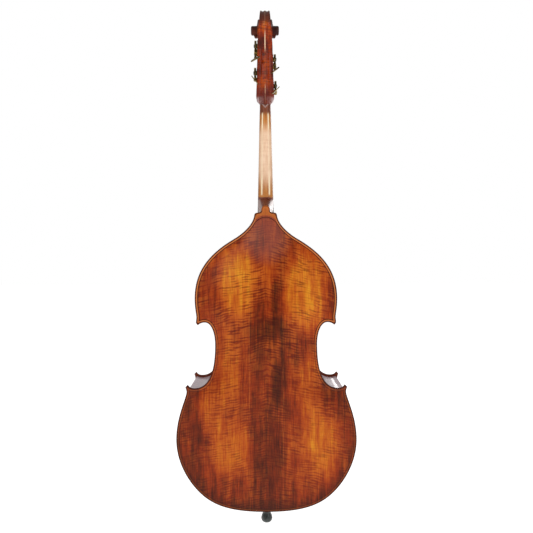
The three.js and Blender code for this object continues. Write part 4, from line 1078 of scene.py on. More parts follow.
back_half = half_body + button
plate("back_plate", back_half, cut_by_arch(half_body), True, BACK_ARCH, [], BACK, "maple_varnished")
hole = sound_hole()
mirror_hole = [(-x, y) for x, y in reversed(hole)]
top_half = half_body + crest
plate("top_plate", top_half, top_half, False, TOP_ARCH, [hole, mirror_hole], TOP, "spruce_varnished")


# ---- ribs ----
def rib(name, line, mirrored):
    if mirrored:
        line = [(-x, y) for x, y in reversed(line)]
    ways = normals_in(line)
    rings, along, run = [], [], 0
    for i, p in enumerate(line):
        if i:
            run += math.dist(p, line[i - 1])
        lean_by = lean(p[1])
        front, back = -RIB_END, RIB_END + lean_by
        section = [(0, front), (0, lerp(front, back, 0.33)), (0, lerp(front, back, 0.67)), (0, back)]
        section += [(RIB, back), (RIB, front)]
        rings.append(
            [(p[0] + ways[i][0] * deep, y, BOTTOM + p[1] + ways[i][1] * deep) for deep, y in section]
        )
        along += [run] * len(section)
    values = {"along": along}
    piece(name + "_fine", loft(rings), "instrument", "maple_varnished", RIBS, [name], 50, values=values)


lower_rib = [(0.15, OVERHANG)] + inset(lower_bout, OVERHANG)[1:] + [(283.4, 444.6)]
waist_rib = [(284.5, 450.5), (275, 446.5)] + inset(waist, OVERHANG)[:-1]
waist_rib += [(226, 704), (238, 702.5), (248, 697.5)]
upper_rib = [(247.3, 703.2)] + inset(upper_bout, OVERHANG)[:-1] + [(33.3, 1086), (31.5, 1089.5), (28, 1091)]
for side, label in ((True, "bass"), (False, "treble")):
    rib("rib_lower_" + label, lower_rib, side)
    rib("rib_centre_" + label, waist_rib, side)
    rib("rib_upper_" + label, upper_rib, side)

# ---- neck ----
neck_up = Vector((0, math.sin(NECK_TILT), math.cos(NECK_TILT)))
neck_forward = Vector((0, -math.cos(NECK_TILT), math.sin(NECK_TILT)))


def on_neck(x, forward, up):
    p = NECK_ORIGIN + neck_up * up + neck_forward * forward
    return Vector((x, p.y, p.z))


def board_half(up):
    return NUT_HALF + (BOARD_END_HALF - NUT_HALF) * (NUT_AT - up) / BOARD_LENGTH


def neck_front(z):
    return NECK_ORIGIN.y + (z - NECK_ORIGIN.z) * math.tan(NECK_TILT)


def neck_ring(place, half, back_half, depth, round_by, steps=32):
    ring = []
    for i in range(steps + 1):
        angle = math.pi * i / steps
        back = 0 if i in (0, steps) else math.sin(angle) ** round_by
        cosine = 0 if i * 2 == steps else math.cos(angle)
        across = math.copysign(abs(cosine) ** round_by, cosine)
        ring.append(place(across * lerp(half, back_half, back), back * depth))
    return ring


def neck():
    heel_back = 79.7
    rings = []

    def level(z, half, back_half, back_y, round_by):
        front = neck_front(z)
        rings.append(neck_ring(lambda x, d: (x, front + d, z), half, back_half, back_y - front, round_by))

    level(1188, 27, 11.5, heel_back, 0.36)
    level(1190, 27.6, 12.3, heel_back, 0.34)
    level(1212, 29, 12.7, heel_back, 0.34)
    steps = 30
    for i in range(steps + 1):
        t = i / steps
        z = lerp(1225, HEEL_TOP, t**2.2)
        half = lerp(30, board_half(z - 1200), t)
        level(z, half, lerp(12.5, 29, t**0.9), lerp(heel_back, -88, t), lerp(0.34, 0.85, t))
    top = 1634
    for i in range(31):
        z = lerp(1283, top, (i / 30) ** 1.15)
        up = (z - 1200) / math.cos(NECK_TILT)
        half = board_half(up) - 0.3
        swell = 3 * math.exp(-(z - 1283) / 12)
        depth = lerp(32, NECK_DEPTH, (z - 1300) / (top - 1300)) / math.cos(NECK_TILT) + swell
        level(z, half, half, neck_front(z) + depth, 0.9)
    rings.append(neck_ring(lambda x, d: on_neck(x, -d, NUT_AT), NUT_HALF, NUT_HALF, NECK_DEPTH, 0.9))
    return loft(rings)


piece("neck_fine", neck(), "instrument", "maple_bare", NECK, ["neck"], 50)


def crown_at(x, half):
    return 10 + (half * half - x * x) / (2 * BOARD_RADIUS)


def fingerboard():
    steps, chamfer, scoop, under = 90, 1.6, 5, 0.3
    rings = []
    for i in range(steps + 1):
        t = i / steps
        up = lerp(NUT_AT - 8 - BOARD_LENGTH, NUT_AT - 8.3, t)
        inwards = chamfer * max(0, 1 - min(t, 1 - t) * steps / 1.5)
        half = board_half(up) - inwards * 0.6
        # the free end is hollowed below
        hollow = scoop * min(1, -up / 60) if up < 0 else 0
        low = [(-half + chamfer * 0.4, under)]
        low += [(half * 0.8 * k / 5, under + hollow * (1 - (k / 5) ** 2)) for k in range(-5, 6)]
        low += [(half - chamfer * 0.4, under), (half, under + chamfer * 0.5)]
        top = [(x, crown_at(x, half) - inwards) for x in (half * (1 - k / 9) for k in range(19))]
        edge = rounded([(half, under + chamfer), top[0], top[1]], chamfer, 3)[1:-1]
        ring = low + edge + top[1:-1] + [(-x, forward) for x, forward in reversed(edge)]
        ring.append((-half, under + chamfer * 0.5))
        rings.append([on_neck(x, forward, up) for x, forward in ring])
    return loft(rings)


piece("fingerboard_fine", fingerboard(), "instrument", "ebony", EBONY, ["fingerboard"], 45)


def nut():
    rings = []
    for i in range(13):
        t = i / 12
        up = lerp(NUT_AT - 8, NUT_AT, t)
        fall = (2.2 * max(0, t - 0.72) / 0.28) ** 1.5 * 0.6
        lift = 1.5 * math.sin(math.pi * min(1, t * 0.62 + 0.12)) ** 0.6 - fall
        half = board_half(up) - 0.3
        ring = [on_neck(-half, 0.3, up), on_neck(0, 0.3, up), on_neck(half, 0.3, up)]
        for k in range(61):
            x = half * (1 - k / 30)
            notch = max(
                max(0, 0.9 - ((x - lane * NUT_LANE) / (radius + 0.3)) ** 2) for *_, radius, lane in MACHINES
            )
            ring.append(on_neck(x, crown_at(x, half) + lift - 0.5 * notch, up))
        rings.append(ring)
    return loft(rings)


piece("nut_fine", nut(), "instrument", "ebony", EBONY, ["nut"], 50)

# ---- scroll and pegbox ----
pegbox_up = Vector((0, math.sin(PEGBOX_TILT), math.cos(PEGBOX_TILT)))
pegbox_forward = Vector((0, -math.cos(PEGBOX_TILT), math.sin(PEGBOX_TILT)))
pegbox_origin = on_neck(0, 0, NUT_AT)


def on_pegbox(x, forward, up):
    p = pegbox_origin + pegbox_up * up + pegbox_forward * forward
    return Vector((x, p.y, p.z))


def raw_object(name, shape):
    mesh = bpy.data.meshes.new(name)
    mesh.from_pydata([tuple(c * MM for c in p) for p in shape[0]], [], shape[1])
    bm = bmesh.new()
    bm.from_mesh(mesh)
    bmesh.ops.recalc_face_normals(bm, faces=bm.faces)
    bmesh.ops.triangulate(bm, faces=[f for f in bm.faces if len(f.verts) > 4])
    bm.to_mesh(mesh)
    bm.free()
    obj = bpy.data.objects.new(name, mesh)
    bpy.context.scene.collection.objects.link(obj)
    return obj


def carved(whole, cuts):
    """The mesh of an object after its modifiers, with shapes cut out of it; the object is removed."""
    cutters = [raw_object("cut_%d" % i, shape) for i, shape in enumerate(cuts)]
    for cutter in cutters:
        mod = whole.modifiers.new(cutter.name, "BOOLEAN")
        mod.operation = "DIFFERENCE"
        mod.solver = "MANIFOLD"
        mod.object = cutter
    graph = bpy.context.evaluated_depsgraph_get()
    mesh = bpy.data.meshes.new_from_object(whole.evaluated_get(graph))
    mesh.transform(Matrix.Translation((0, 0, -LOWERED * MM)))
    for obj in (whole, *cutters):
        bpy.data.objects.remove(obj)
    return mesh


def pegbox_rings():
    # up the pegbox: half width, front, back, half width of the flat back, depth of the side curve
    rows = [
        (4, 24, 2, -34, 2, 13),
        (8, 28.5, 4, -43, 6, 12),
        (13, 32.5, 5.5, -51, 13, 9),
        (20, 34.5, 6, -55.5, 21, 8),
        (29, 35, 6, -58, 28, 6),
        (62, 33.5, 5, -59, 28, 5.5),
        (105, 31.8, 4, -57, 26.5, 5.5),
        (160, 30.2, 2, -52.5, 25.3, 5),
        (188, 29.4, 2, -51.6, 24.8, 5),
        (205, 29, 2, -54.2, 24.4, 5),
        (220, 28, 2, -60.6, 23.8, 4),
        (232, 26.5, -4, -67.8, 23.3, 3),
        (246, 25, -8, -73.6, 22.6, 2.5),
    ]
    rings = []
    for i in range(101):
        up = lerp(4, 246, (i / 100) ** 1.25)
        half, front, back, flat, corner = table(rows, up)
        flute = between(up, 14, 46, 0, 3.6)
        ring = []
        count = 20
        for k in range(-count, count + 1):
            x = flat * k / count
            hollow = flute * (math.sin(math.pi * abs(x) / flat) ** 2 if flat > 0 else 0)
            ring.append(on_pegbox(x, back + hollow, up))
        side = [(half - (half - flat) * 0.2, back + corner * 0.42), (half, back + corner + 2)]
        side += [(half, lerp(back + corner, front, 0.5)), (half, front - 1.5), (half - 1.5, front)]
        side += [(-x, forward) for x, forward in reversed(side)]
        rings.append(ring + [on_pegbox(x, forward, up) for x, forward in side])
    return rings


def scroll_radius(angle):
    wound = max(0, (angle - 180) / 630)
    return 68 - 8 * max(0, (90 - angle) / 52) - 48 * wound**0.8


def scroll_half(angle):
    if angle < 180:
        return lerp(26.8, 16.4, (angle - 38) / 142)
    return 16.4 + 36.9 * ((angle - 180) / 690) ** 1.75


def scroll_slice(start, end, axis_half):
    rings = []
    steps = max(2, round((end - start) / 5))
    for i in range(steps + 1):
        angle = lerp(start, end, i / steps)
        radius, half = scroll_radius(angle), scroll_half(angle)
        flute = between(angle, 38, 60, 3.0, 3.4) if angle < 400 else 1.5
        section = [(1.5, -axis_half), (1.5, axis_half)]
        section.append((radius * 0.5, lerp(axis_half, half, 0.5) - 1.2))
        section.append((radius - 2.2, half - 0.3))
        section.append((radius - 0.8, half - 0.5))
        for k in range(13):
            x = (half - 1.6) * (1 - k / 6)
            section.append((radius - flute * math.sin(math.pi * abs(x) / (half - 1.6)) ** 2, x))
        section.append((radius - 0.8, -half + 0.5))
        section.append((radius - 2.2, -half + 0.3))
        section.append((radius * 0.5, -lerp(axis_half, half, 0.5) + 1.2))
        turn = angle * DEG
        rings.append(
            [
                on_pegbox(x, SCROLL_FORWARD - r * math.sin(turn), SCROLL_UP - r * math.cos(turn))
                for r, x in section
            ]
        )
    return loft(rings)


def scroll_mesh():
    parts = [loft(pegbox_rings())]
    end_at = NUT_AT + 0.3
    neck_end = neck_ring(lambda x, d: on_neck(x, -d, end_at), NUT_HALF, NUT_HALF, NECK_DEPTH, 0.9, 24)
    chin = neck_ring(lambda x, d: on_pegbox(x, 3 - d, 9), 27.5, 27.5, 45, 0.8, 24)
    parts.append(loft([neck_end, chin]))
    for first, last, axis_half in ((52, 360, 22), (360, 720, 36), (720, 855, 47)):
        at = first
        while at < last:
            to = min(at + 90, last)
            parts.append(scroll_slice(at - 0.6, to + 0.6, axis_half))
            at = to
    half_eye = [(0, -53.4), (12, -53.4), (15, -52.2), (16.5, -49)]
    eye = turned(half_eye + [(radius, -x) for radius, x in reversed(half_eye)])
    parts.append(placed(eye, lambda p: on_pegbox(p.z, SCROLL_FORWARD + p.x, SCROLL_UP + p.y)))
    whole = raw_object("scroll_whole", merged(*parts))
    remesh = whole.modifiers.new("join", "REMESH")
    remesh.mode = "VOXEL"
    remesh.voxel_size = FINE_VOXEL * MM
    remesh.use_smooth_shade = True
    smooth = whole.modifiers.new("worn", "SMOOTH")
    smooth.factor = 0.5
    smooth.iterations = 3

    # up the pegbox: half width and floor of the string slot
    slot_rows = [(16, 19.5, -24), (34, 19.5, -44), (90, 19.2, -47), (150, 18.8, -42), (228, 18, -36)]
    rings = []
    for up, half, floor in slot_rows:
        wall = [(half, SLOT_MOUTH), (half, floor + 3), (half - 3, floor)]
        section = wall + [(-x, forward) for x, forward in reversed(wall)]
        rings.append([on_pegbox(x, forward, up) for x, forward in section])
    cuts = [loft(rings)]
    for machine in MACHINES:
        wide = machine[4]
        seat = prism(machine_outline(SEAT_GAP), -0.3, 24)
        near_bore = along_bar(ROLLER + SEAT_GAP, -25, 5)
        far_bore = along_bar(6.3, -wide - 26, -wide)
        cuts += [on_machine(machine, shape) for shape in (seat, near_bore, far_bore)]
    return carved(whole, cuts)


# ---- tuning machines ----
def machine_axes(machine):
    _, up_at, _, slope, face, *_ = machine
    cosine, sine = math.cos(slope * DEG), math.sin(slope * DEG)
    return on_pegbox(face, ROLLER_DEPTH, up_at), Vector((0, cosine, -sine)), Vector((0, sine, cosine))


def on_machine(machine, shape):
    """Local x runs along the worm to the key, y up to the gear, z out of the plate."""
    origin, along, up = machine_axes(machine)
    side = machine[2]

    def rule(p):
        q = origin + along * p.x + up * p.y
        return Vector(((q.x + p.z) * side, q.y, q.z))

    return placed(shape, rule)


def prism(outline, z0, z1, edge=0.0):
    if not edge:
        return loft([[(x, y, z) for x, y in outline] for z in (z0, z1)])
    near = inset(outline, edge, True)
    rings = [[(x, y, z0) for x, y in near], [(x, y, z0 + edge) for x, y in outline]]
    rings += [[(x, y, z1 - edge) for x, y in outline], [(x, y, z1) for x, y in near]]
    return loft(rings)


def along_bar(radius, z0, z1):
    return turned([(0, z0), (radius, z0), (radius, z1), (0, z1)], 36)


def machine_outline(grow):
    low = -SHAFTS_APART - 9 - grow
    high = -SHAFTS_APART + 9 + 2 * grow
    wrap = 0.6 - 0.1 * grow
    points = [(-20 - grow, low), (29 + grow, low), (29 + grow, high)]
    for i in range(33):
        a = lerp(-wrap, math.pi + wrap, i / 32)
        points.append(((21 + grow) * math.cos(a), (21 + grow) * math.sin(a)))
    points.append((-20 - grow, high))
    return rounded_loop(points, 2.0)


def shaft_turned(profile):
    """Turned piece on the worm axis from [radius, place along] pairs."""
    return placed(
        turned(profile, 32), lambda p: Vector((p.z, p.x - SHAFTS_APART, p.y + GEAR_MIDDLE))
    )


def machine_plate_shape():
    base = prism(machine_outline(0), 0, PLATE_THICK, 0.5)
    lugs = []
    for start in (-20, 15.5):
        block = rounded_loop([(-30, 1), (-16, 1), (-16, 12.6), (-19, 14.6), (-27, 14.6), (-30, 12.6)], 1.2)
        rings = []
        for dx, deep in ((0, 0.4), (0.4, 0), (4.1, 0), (4.5, 0.4)):
            rings.append([(start + dx, y, z) for y, z in inset(block, deep, True)])
        lugs.append(loft(rings))
    return merged(base, *lugs)


def worm_shape(machine):
    per_turn = 24
    rings = []
    total = 4 * per_turn
    for i in range(per_turn // 4, total - per_turn // 4 + 1):
        angle = 2 * math.pi * i / per_turn
        centre = WORM_LEAD * (i / per_turn - 2)
        ring = []
        for radius, dx in ((3.2, -1.05), (5.7, -0.6), (6.1, -0.35), (6.1, 0.35), (5.7, 0.6), (3.2, 1.05)):
            y, z = radius * math.cos(angle), radius * math.sin(angle)
            ring.append((centre + dx, y - SHAFTS_APART, z + GEAR_MIDDLE))
        rings.append(ring)
    shaft = rounded(
        [(0, -21.5), (3, -21.5), (3, -14.6), (3.6, -14.6), (3.6, 14.6), (3, 14.6), (3, 21), (4.8, 21)]
        + [(4.8, 23), (4.0, 24), (4.0, 28), (4.8, 29), (4.2, 40), (4.8, 51), (5.4, 55), (3.6, 60), (0, 68)],
        0.5,
    )
    # the wings swell towards their ends like a pair of petals
    wing = [
        (-15, 4.2), (-11, 4.6), (-8.5, 7), (-7.4, 11), (-5.8, 15), (-3, 18.4), (0.8, 19.9),
        (4.6, 19), (7.6, 16.2), (8.9, 12.6), (8.6, 9), (7.8, 6), (7.9, 3), (8.9, 0),
    ]
    lower = [(x, -y) for x, y in reversed(wing[:-1])]
    outline = wing + lower
    rings_key = []
    for z, deep in ((-1.6, 1.7), (-1.35, 0.8), (-0.7, 0.1), (0.7, 0.1), (1.35, 0.8), (1.6, 1.7)):
        rings_key.append([(x, y, z) for x, y in inset_to_middle(outline, deep)])
    key = loft(rings_key)
    turn = Matrix.Rotation(machine[2] * machine[5] * DEG, 3, "X")
    key = placed(key, lambda p: turn @ p + Vector((KEY_AT, -SHAFTS_APART, GEAR_MIDDLE)))
    return merged(loft(rings), shaft_turned(shaft), key)


def inset_to_middle(outline, by):
    ways = normals_in(outline, True)
    area = sum(a[0] * b[1] - b[0] * a[1] for a, b in zip(outline, outline[1:] + outline[:1]))
    sign = 1 if area > 0 else -1
    return [(p[0] + n[0] * by * sign, p[1] + n[1] * by * sign) for p, n in zip(outline, ways)]


def gear_shape():
    step = 2 * math.pi / TEETH
    twist = WORM_LEAD / (2 * math.pi * 5) / 18

    def ring_at(z, less):
        # one side of a tooth: radius, and share of the tooth's step from its middle
        flank = [(15.6, -0.26), (17.6, -0.19), (19.3 - less, -0.11)]
        ring = []
        for i in range(TEETH):
            middle = (i + 0.5) * step
            for radius, share in flank + [(radius, -share) for radius, share in reversed(flank)]:
                a = middle + share * step
                ring.append(Vector((radius * math.sin(a), -radius * math.cos(a), 0)))
        turn = Matrix.Rotation(twist * (z - GEAR_MIDDLE), 3, "Z")
        return [turn @ p + Vector((0, 0, z)) for p in ring]

    rings = [ring_at(4.6, 0.7), ring_at(5.2, 0), ring_at(12, 0), ring_at(12.6, 0.7)]
    # dished face: rim, hollow, hub
    for radius, z in ((14.2, 12.6), (13.4, 12.0), (9.4, 12.0), (8.6, 12.55), (0.6, 12.55)):
        ways = [Vector((p.x, p.y, 0)).normalized() for p in ring_at(12.6, 0)]
        rings.append([way * radius + Vector((0, 0, z)) for way in ways])
    return loft(rings)


def gear_screw_shape():
    head = [(0, 12.9), (6.4, 12.9), (7, 13.3), (7, 13.9), (6.2, 14.7), (4.6, 15.4), (2.4, 15.9), (0, 16)]
    return turned(head, 40)


def roller_shape(machine):
    reach = machine[4] + 24
    return turned(
        rounded(
            [(0, -reach), (5.6, -reach), (6, -reach + 0.5), (6, -machine[4] - 18), (8.5, -machine[4] - 18)]
            + [(8.5, 4.3), (5, 4.3), (5, 12.6), (0, 12.6)],
            0.4,
        ),
        36,
    )


def slotted_screw(x, y, z, radius, turn):
    """Small round-headed wood screw with a real slot, on a plate that faces +z."""
    rings = []
    count = 24
    for share, h in ((1, 0), (1, 0.35), (0.86, 0.8), (0.55, 1.15), (0.22, 1.25)):
        r = radius * share
        ring = []
        for k in range(count):
            a = 2 * math.pi * k / count
            px, py = r * math.cos(a), r * math.sin(a)
            in_slot = abs(px * math.sin(turn) - py * math.cos(turn)) < radius * 0.16
            ring.append((x + px, y + py, z + (min(h, 0.45) if in_slot else h)))
        rings.append(ring)
    return loft(rings)


scroll_piece = shown("scroll_fine", scroll_mesh(), SCROLL, 48)
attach(scroll_piece, "instrument")
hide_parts("scroll")

for machine in MACHINES:
    name = machine[0]
    screws = []
    for n, (x, y) in enumerate(((-17, -29.5), (26, -29.5), (26, -17), (-15.5, 11.5), (15.5, 11.5))):
        screws.append(slotted_screw(x, y, PLATE_THICK - 0.05, 1.9, 0.7 + 1.3 * n))
    fine = {
        "machine_plate": (machine_plate_shape(), "instrument", "brass", BRASS_DARK),
        "key_worm": (worm_shape(machine), "key_", "brass", BRASS),
        "gear": (gear_shape(), "roller_", "brass", BRASS),
        "roller": (roller_shape(machine), "roller_", "ebony", EBONY),
        "gear_screw": (gear_screw_shape(), "roller_", "steel", STEEL),
    }
    for kind, (shape, body, slot, look) in fine.items():
        body = body + name if body.endswith("_") else body
        node = kind + "_" + name
        piece(node + "_fine", on_machine(machine, shape), body, slot, look, [node], 38)
    screws = on_machine(machine, merged(*screws))
    piece("plate_screws_" + name, screws, "instrument", "brass", BRASS, sharp=30)


# ---- bridge ----
def bridge_edge(x):
    return BRIDGE_TOP - x * x / (2 * BOARD_RADIUS)


def bridge():
    half = traced(
        (0, 166),
        [
            (18, 166, 28, 158, 31, 148, 14),
            (33, 142, 36, 138, 40, 136, 6),
            (40, 130, 40, 124, 40, 118, 4),
            (52, 118, 64, 118, 76, 118, 8),
            (76, 124, 76, 130, 76, 137, 4),
            (66, 140, 60, 146, 57, 156, 10),
            (55, 168, 62, 176, 57, 186, 9),
            (50, 190, 38, 188, 36, 198, 9),
            (38, 208, 52, 204, 58, 212, 9),
            (62, 224, 54, 250, 52, 278, 14),
        ],
    )
    top = []
    for i in range(61):
        x = 50 * (1 - i / 60)
        cuts = [(x - abs(lane) * BRIDGE_LANE) / (radius + 0.4) for *_, radius, lane in MACHINES]
        notch = max(max(0, 1 - cut**2) for cut in cuts)
        top.append((x, bridge_edge(x) - 0.9 * notch))
    half += top
    outline = both_halves(half)
    feet = [(x, max(y, foot_height(x)) if y < 128 else y) for x, y in outline]
    heart = traced((0, 212), [(8, 220, 18, 228, 15, 240, 10), (12, 248, 3, 248, 0, 240, 8)])
    heart = both_halves(heart)
    inside_points = []
    for i in range(-9, 10):
        for j in range(24):
            inside_points.append((i * 6.5 + (j % 2) * 3, 128 + j * 6.8))
    ok = inside(inside_points, feet) & ~inside(inside_points, heart)
    ok &= (distances(inside_points, feet) > 3) & (distances(inside_points, heart) > 3)
    extra = [p for p, k in zip(inside_points, ok) if k]
    ring = inset(feet, 1.0, True)
    far = distances(ring, feet) > 0.9
    extra += [p for p, k in zip(ring, far) if k]

    def thick(x, y):
        d = min(float(distances([(x, y)], loop)[0]) for loop in (feet, heart))
        full = lerp(22, 6.5, (y - 118) / (BRIDGE_TOP - 118)) / 2
        return full - 0.7 * max(0, 1 - d / 1.0) ** 2

    shape, _ = cut_sheet(
        feet,
        [heart],
        extra,
        [],
        lambda x, y: (x, -y, BRIDGE_Z + thick(x, y)),
        lambda x, y: (x, -y, BRIDGE_Z - thick(x, y)),
    )
    return shape


def foot_height(x):
    """How far in front of the ribs the arched top lies under the bridge, plus a sliver of air."""
    return HALF_DEPTH + EDGE + TOP_ARCH * arch_at(x, BRIDGE_Z - BOTTOM) + 0.25


piece("bridge_fine", bridge(), "instrument", "bridge_maple", BRIDGE, ["bridge"], 35)

# ---- tailpiece ----
tail_up = Vector((0, -math.sin(TAIL_TILT), math.cos(TAIL_TILT)))
tail_forward = Vector((0, -math.cos(TAIL_TILT), -math.sin(TAIL_TILT)))


def on_tail(x, forward, up):
    p = Vector((0, -125, 127)) + tail_up * up + tail_forward * forward
    return Vector((x, p.y, p.z))


def tail_half(up):
    return 25 + 19 * (max(0, up) / TAIL_LENGTH) ** 1.3


def tail_crown(x, up):
    return 12 - 10 * (x / tail_half(up)) ** 2


def tailpiece():
    rings = []
    count = 64
    for i in range(count + 1):
        up = TAIL_LENGTH * i / count
        end = min(up, TAIL_LENGTH - up)
        inwards = 3 * max(0, 1 - end / 6) ** 1.6
        # a low rest for the strings runs across near the upper end
        rest = 1.6 * math.exp(-(((up - 301) / 2.4) ** 2))
        half = tail_half(up) - inwards
        low = -5 + inwards * 0.5
        ring = [on_tail(-half, low + 1.2, up), on_tail(-half * 0.9, low, up)]
        ring += [on_tail(half * 0.9, low, up), on_tail(half, low + 1.2, up)]
        for k in range(25):
            x = half * (1 - k / 12)
            soft = 1.2 * max(0, (abs(x) / half - 0.9) / 0.1) ** 2
            ring.append(on_tail(x, tail_crown(x, up) - inwards * 0.6 - soft + rest, up))
        rings.append(ring)
    holes = []
    for *_, radius, lane in MACHINES:
        x = lane * TAIL_LANE
        holes.append(tube([on_tail(x, -9, STRING_HOLE_AT), on_tail(x, 17, STRING_HOLE_AT)], radius + 0.9, 20))
        slit = [(x - 0.9, STRING_HOLE_AT), (x + 0.9, STRING_HOLE_AT), (x + 0.9, 296), (x - 0.9, 296)]
        holes.append(loft([[on_tail(a, f, b) for a, b in slit] for f in (-9, 17)]))
    for side in (-1, 1):
        holes.append(tube([on_tail(12 * side, -0.5, -5), on_tail(12 * side, -0.5, 18)], 2.2, 20))
    obj = shown("tailpiece_fine", carved(raw_object("tail_whole", loft(rings)), holes), EBONY, 35)
    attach(obj, "instrument")
    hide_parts("tailpiece")


tailpiece()
saddle_side = rounded_loop(
    [(-100.3, 99.3), (-116, 99.3), (-118.6, 101), (-119, 105), (-116, 108), (-110, 109), (-100.3, 109)], 1.2
)
saddle_rings = []
for x, deep in ((-35, 0.8), (-34.4, 0.2), (-33.8, 0), (33.8, 0), (34.4, 0.2), (35, 0.8)):
    saddle_rings.append([(x, y, z) for y, z in inset_to_middle(saddle_side, deep)])
piece("saddle_fine", loft(saddle_rings), "instrument", "ebony", EBONY, ["saddle"], 40)


# ---- strings ----
def string(machine):
    name, up_at, _, _, _, _, radius, lane = machine
    off = radius + 0.4
    tail_x, bridge_x, nut_x = lane * TAIL_LANE, lane * BRIDGE_LANE, lane * NUT_LANE
    lift = tail_crown(tail_x, STRING_HOLE_AT) + off + 3
    nut_top = crown_at(nut_x, NUT_HALF) + 1.5 + off
    wound = ROLLER + radius + 0.5
    end = on_pegbox(lane * ROLLER_LANE, ROLLER_DEPTH, up_at)
    nut_back = on_neck(nut_x, nut_top - 0.4, NUT_AT + 1)
    to_roller = end - nut_back
    to_roller.x = 0
    reach = math.acos(wound / to_roller.length)
    lever = Matrix.Rotation(-reach, 3, "X") @ (-to_roller.normalized()) * wound
    corners = [
        on_tail(tail_x, -6, STRING_HOLE_AT),
        on_tail(tail_x, lift - 2.5, STRING_HOLE_AT + 0.3),
        on_tail(tail_x, lift, STRING_HOLE_AT + 3.5),
        Vector((bridge_x, -bridge_edge(bridge_x) - off, BRIDGE_Z - 5)),
        Vector((bridge_x, -bridge_edge(bridge_x) - off - 0.15, BRIDGE_Z)),
        Vector((bridge_x, -bridge_edge(bridge_x) - off, BRIDGE_Z + 5)),
        on_neck(nut_x, nut_top, NUT_AT - 7),
        nut_back,
        end + lever,
    ]
    path = [corners[0]]
    for a, b in zip(corners, corners[1:]):
        count = max(1, int((b - a).length / 12))
        path += [a.lerp(b, k / count) for k in range(1, count + 1)]
    # three turns round the roller, side by side, away from the lane
    start = math.atan2(lever.z, lever.y)
    spread = 2 * radius + 0.25
    turns, steps = 3, 24
    away = 1 if lane == 1 else -1
    for k in range(1, turns * steps + 1):
        a = start - 2 * math.pi * k / steps
        aside = -away * spread * k / steps * 0.9
        path.append(end + Vector((aside, wound * math.cos(a), wound * math.sin(a))))
    length, run = [], 0
    for i, p in enumerate(path):
        if i:
            run += (p - path[i - 1]).length
        length.append(run)
    sides = 10
    shape = tube(path, radius, sides)
    nut_run = length[min(range(len(path)), key=lambda i: (path[i] - nut_back).length)]
    bridge_run = length[min(range(len(path)), key=lambda i: (path[i] - corners[3]).length)]
    low, high = bridge_run - SILK_BELOW_BRIDGE, nut_run - SILK_BEFORE_NUT
    silk = [1.0 if (v < low or v > high) else 0.0 for v in length]
    # the brass ball that holds the string under the tailpiece
    ball_at = on_tail(tail_x, -5 - 0.3 - BALL_END, STRING_HOLE_AT)
    angles = [math.pi * k / 12 for k in range(13)]
    profile = [(BALL_END * math.sin(a), -BALL_END * math.cos(a)) for a in angles]
    ball = placed(turned(profile, 20), lambda p: p + ball_at)
    silk_all = [s for s in silk for _ in range(sides)] + [0.0] * len(ball[0])
    run_all = [v for v in length for _ in range(sides)] + [0.0] * len(ball[0])
    piece(
        "string_%s_fine" % name,
        merged(shape, ball),
        "instrument",
        "string_steel",
        STRING,
        ["string_" + name],
        60,
        values={"along": run_all, "silk": silk_all},
    )


for machine in MACHINES:
    string(machine)


def tail_wire():
    path = [on_tail(12, -0.5, 14), on_tail(12, -0.5, -3), Vector((12.6, -121.4, 112))]
    path += [Vector((13, -121.4, 99.5)), Vector((13.2, -118.6, 96.4))]
    loop = [Vector(p) for p in circle(14.55, 96.4, 40)[:21]]
    other = [Vector((-p.x, p.y, p.z)) for p in reversed(path)]
    return tube(smooth_line(path + loop + other, 2.5), 1.75, 14)


piece("tail_wire_fine", tail_wire(), "instrument", "steel", CABLE, ["tail_wire"], 60)

# ---- endpin ----
plug = rounded(
    [(5.4, 90), (15, 90), (16, 91), (16, 93), (12.5, 94.2), (12.5, 98.8), (20, 100), (21, 102), (21, 107)]
    + [(20, 108.6), (15, 108.6), (13, 160), (5.4, 160)],
    0.8,
)


def hollow_turned(profile, bore):
    """Turned ring: the profile outside and a straight bore, closed at both ends."""
    full = [(bore, profile[0][1]), *profile, (bore, profile[-1][1])]
    count = 48
    points, faces = loft([circle(radius, z, count) for radius, z in full], False)
    last = (len(full) - 1) * count
    for j in range(count):
        faces.append((last + j, last + (j + 1) % count, (j + 1) % count, j))
    return points, faces


plug_shape = hollow_turned(plug[1:-1], PLUG_BORE)
piece("endpin_plug_fine", plug_shape, "instrument", "ebony", DARK_PLUG, ["endpin_plug"], 40)
ferrule_line = [(9.2, 58), (10.4, 58.6), (11, 60), (11, 64), (10.4, 64.6), (11, 65.2), (11, 82)]
ferrule_line = rounded(ferrule_line + [(12.9, 86), (13, 89.6), (9, 89.6)], 0.5)
boss = placed(
    turned(rounded([(0, 0), (5, 0), (5, 7.2), (4.4, 8), (0, 8)], 0.4), 28),
    lambda p: Vector((9 + p.z, p.x, SCREW_Z + p.y)),
)
ferrule = merged(hollow_turned(ferrule_line[:-1], PLUG_BORE), boss)
piece("endpin_ferrule_fine", ferrule, "instrument", "steel", BRASS, ["endpin_ferrule"], 35)
screw_line = rounded([(0, 6), (2.5, 6), (2.5, 17.4), (4, 18), (4, 23), (0, 23.6)], 0.5)
shank = placed(turned(screw_line, 28), lambda p: Vector((p.z, p.x, SCREW_Z + p.y)))
half_leaf = [(21, -2.5), (23, -5), (26, -8.4), (29, -9), (31, -7), (30.6, -3), (28, -0.8)]
leaf = half_leaf + [(x, -z) for x, z in reversed(half_leaf)]
leaf_rings = []
for y, deep in ((-1.6, 0.8), (-1.1, 0.15), (1.1, 0.15), (1.6, 0.8)):
    leaf_rings.append([(x, y, SCREW_Z + z) for x, z in inset_to_middle(leaf, deep)])
thumbscrew = merged(shank, loft(leaf_rings))
piece("endpin_thumbscrew_fine", thumbscrew, "thumbscrew", "steel", STEEL, ["endpin_thumbscrew"], 35)
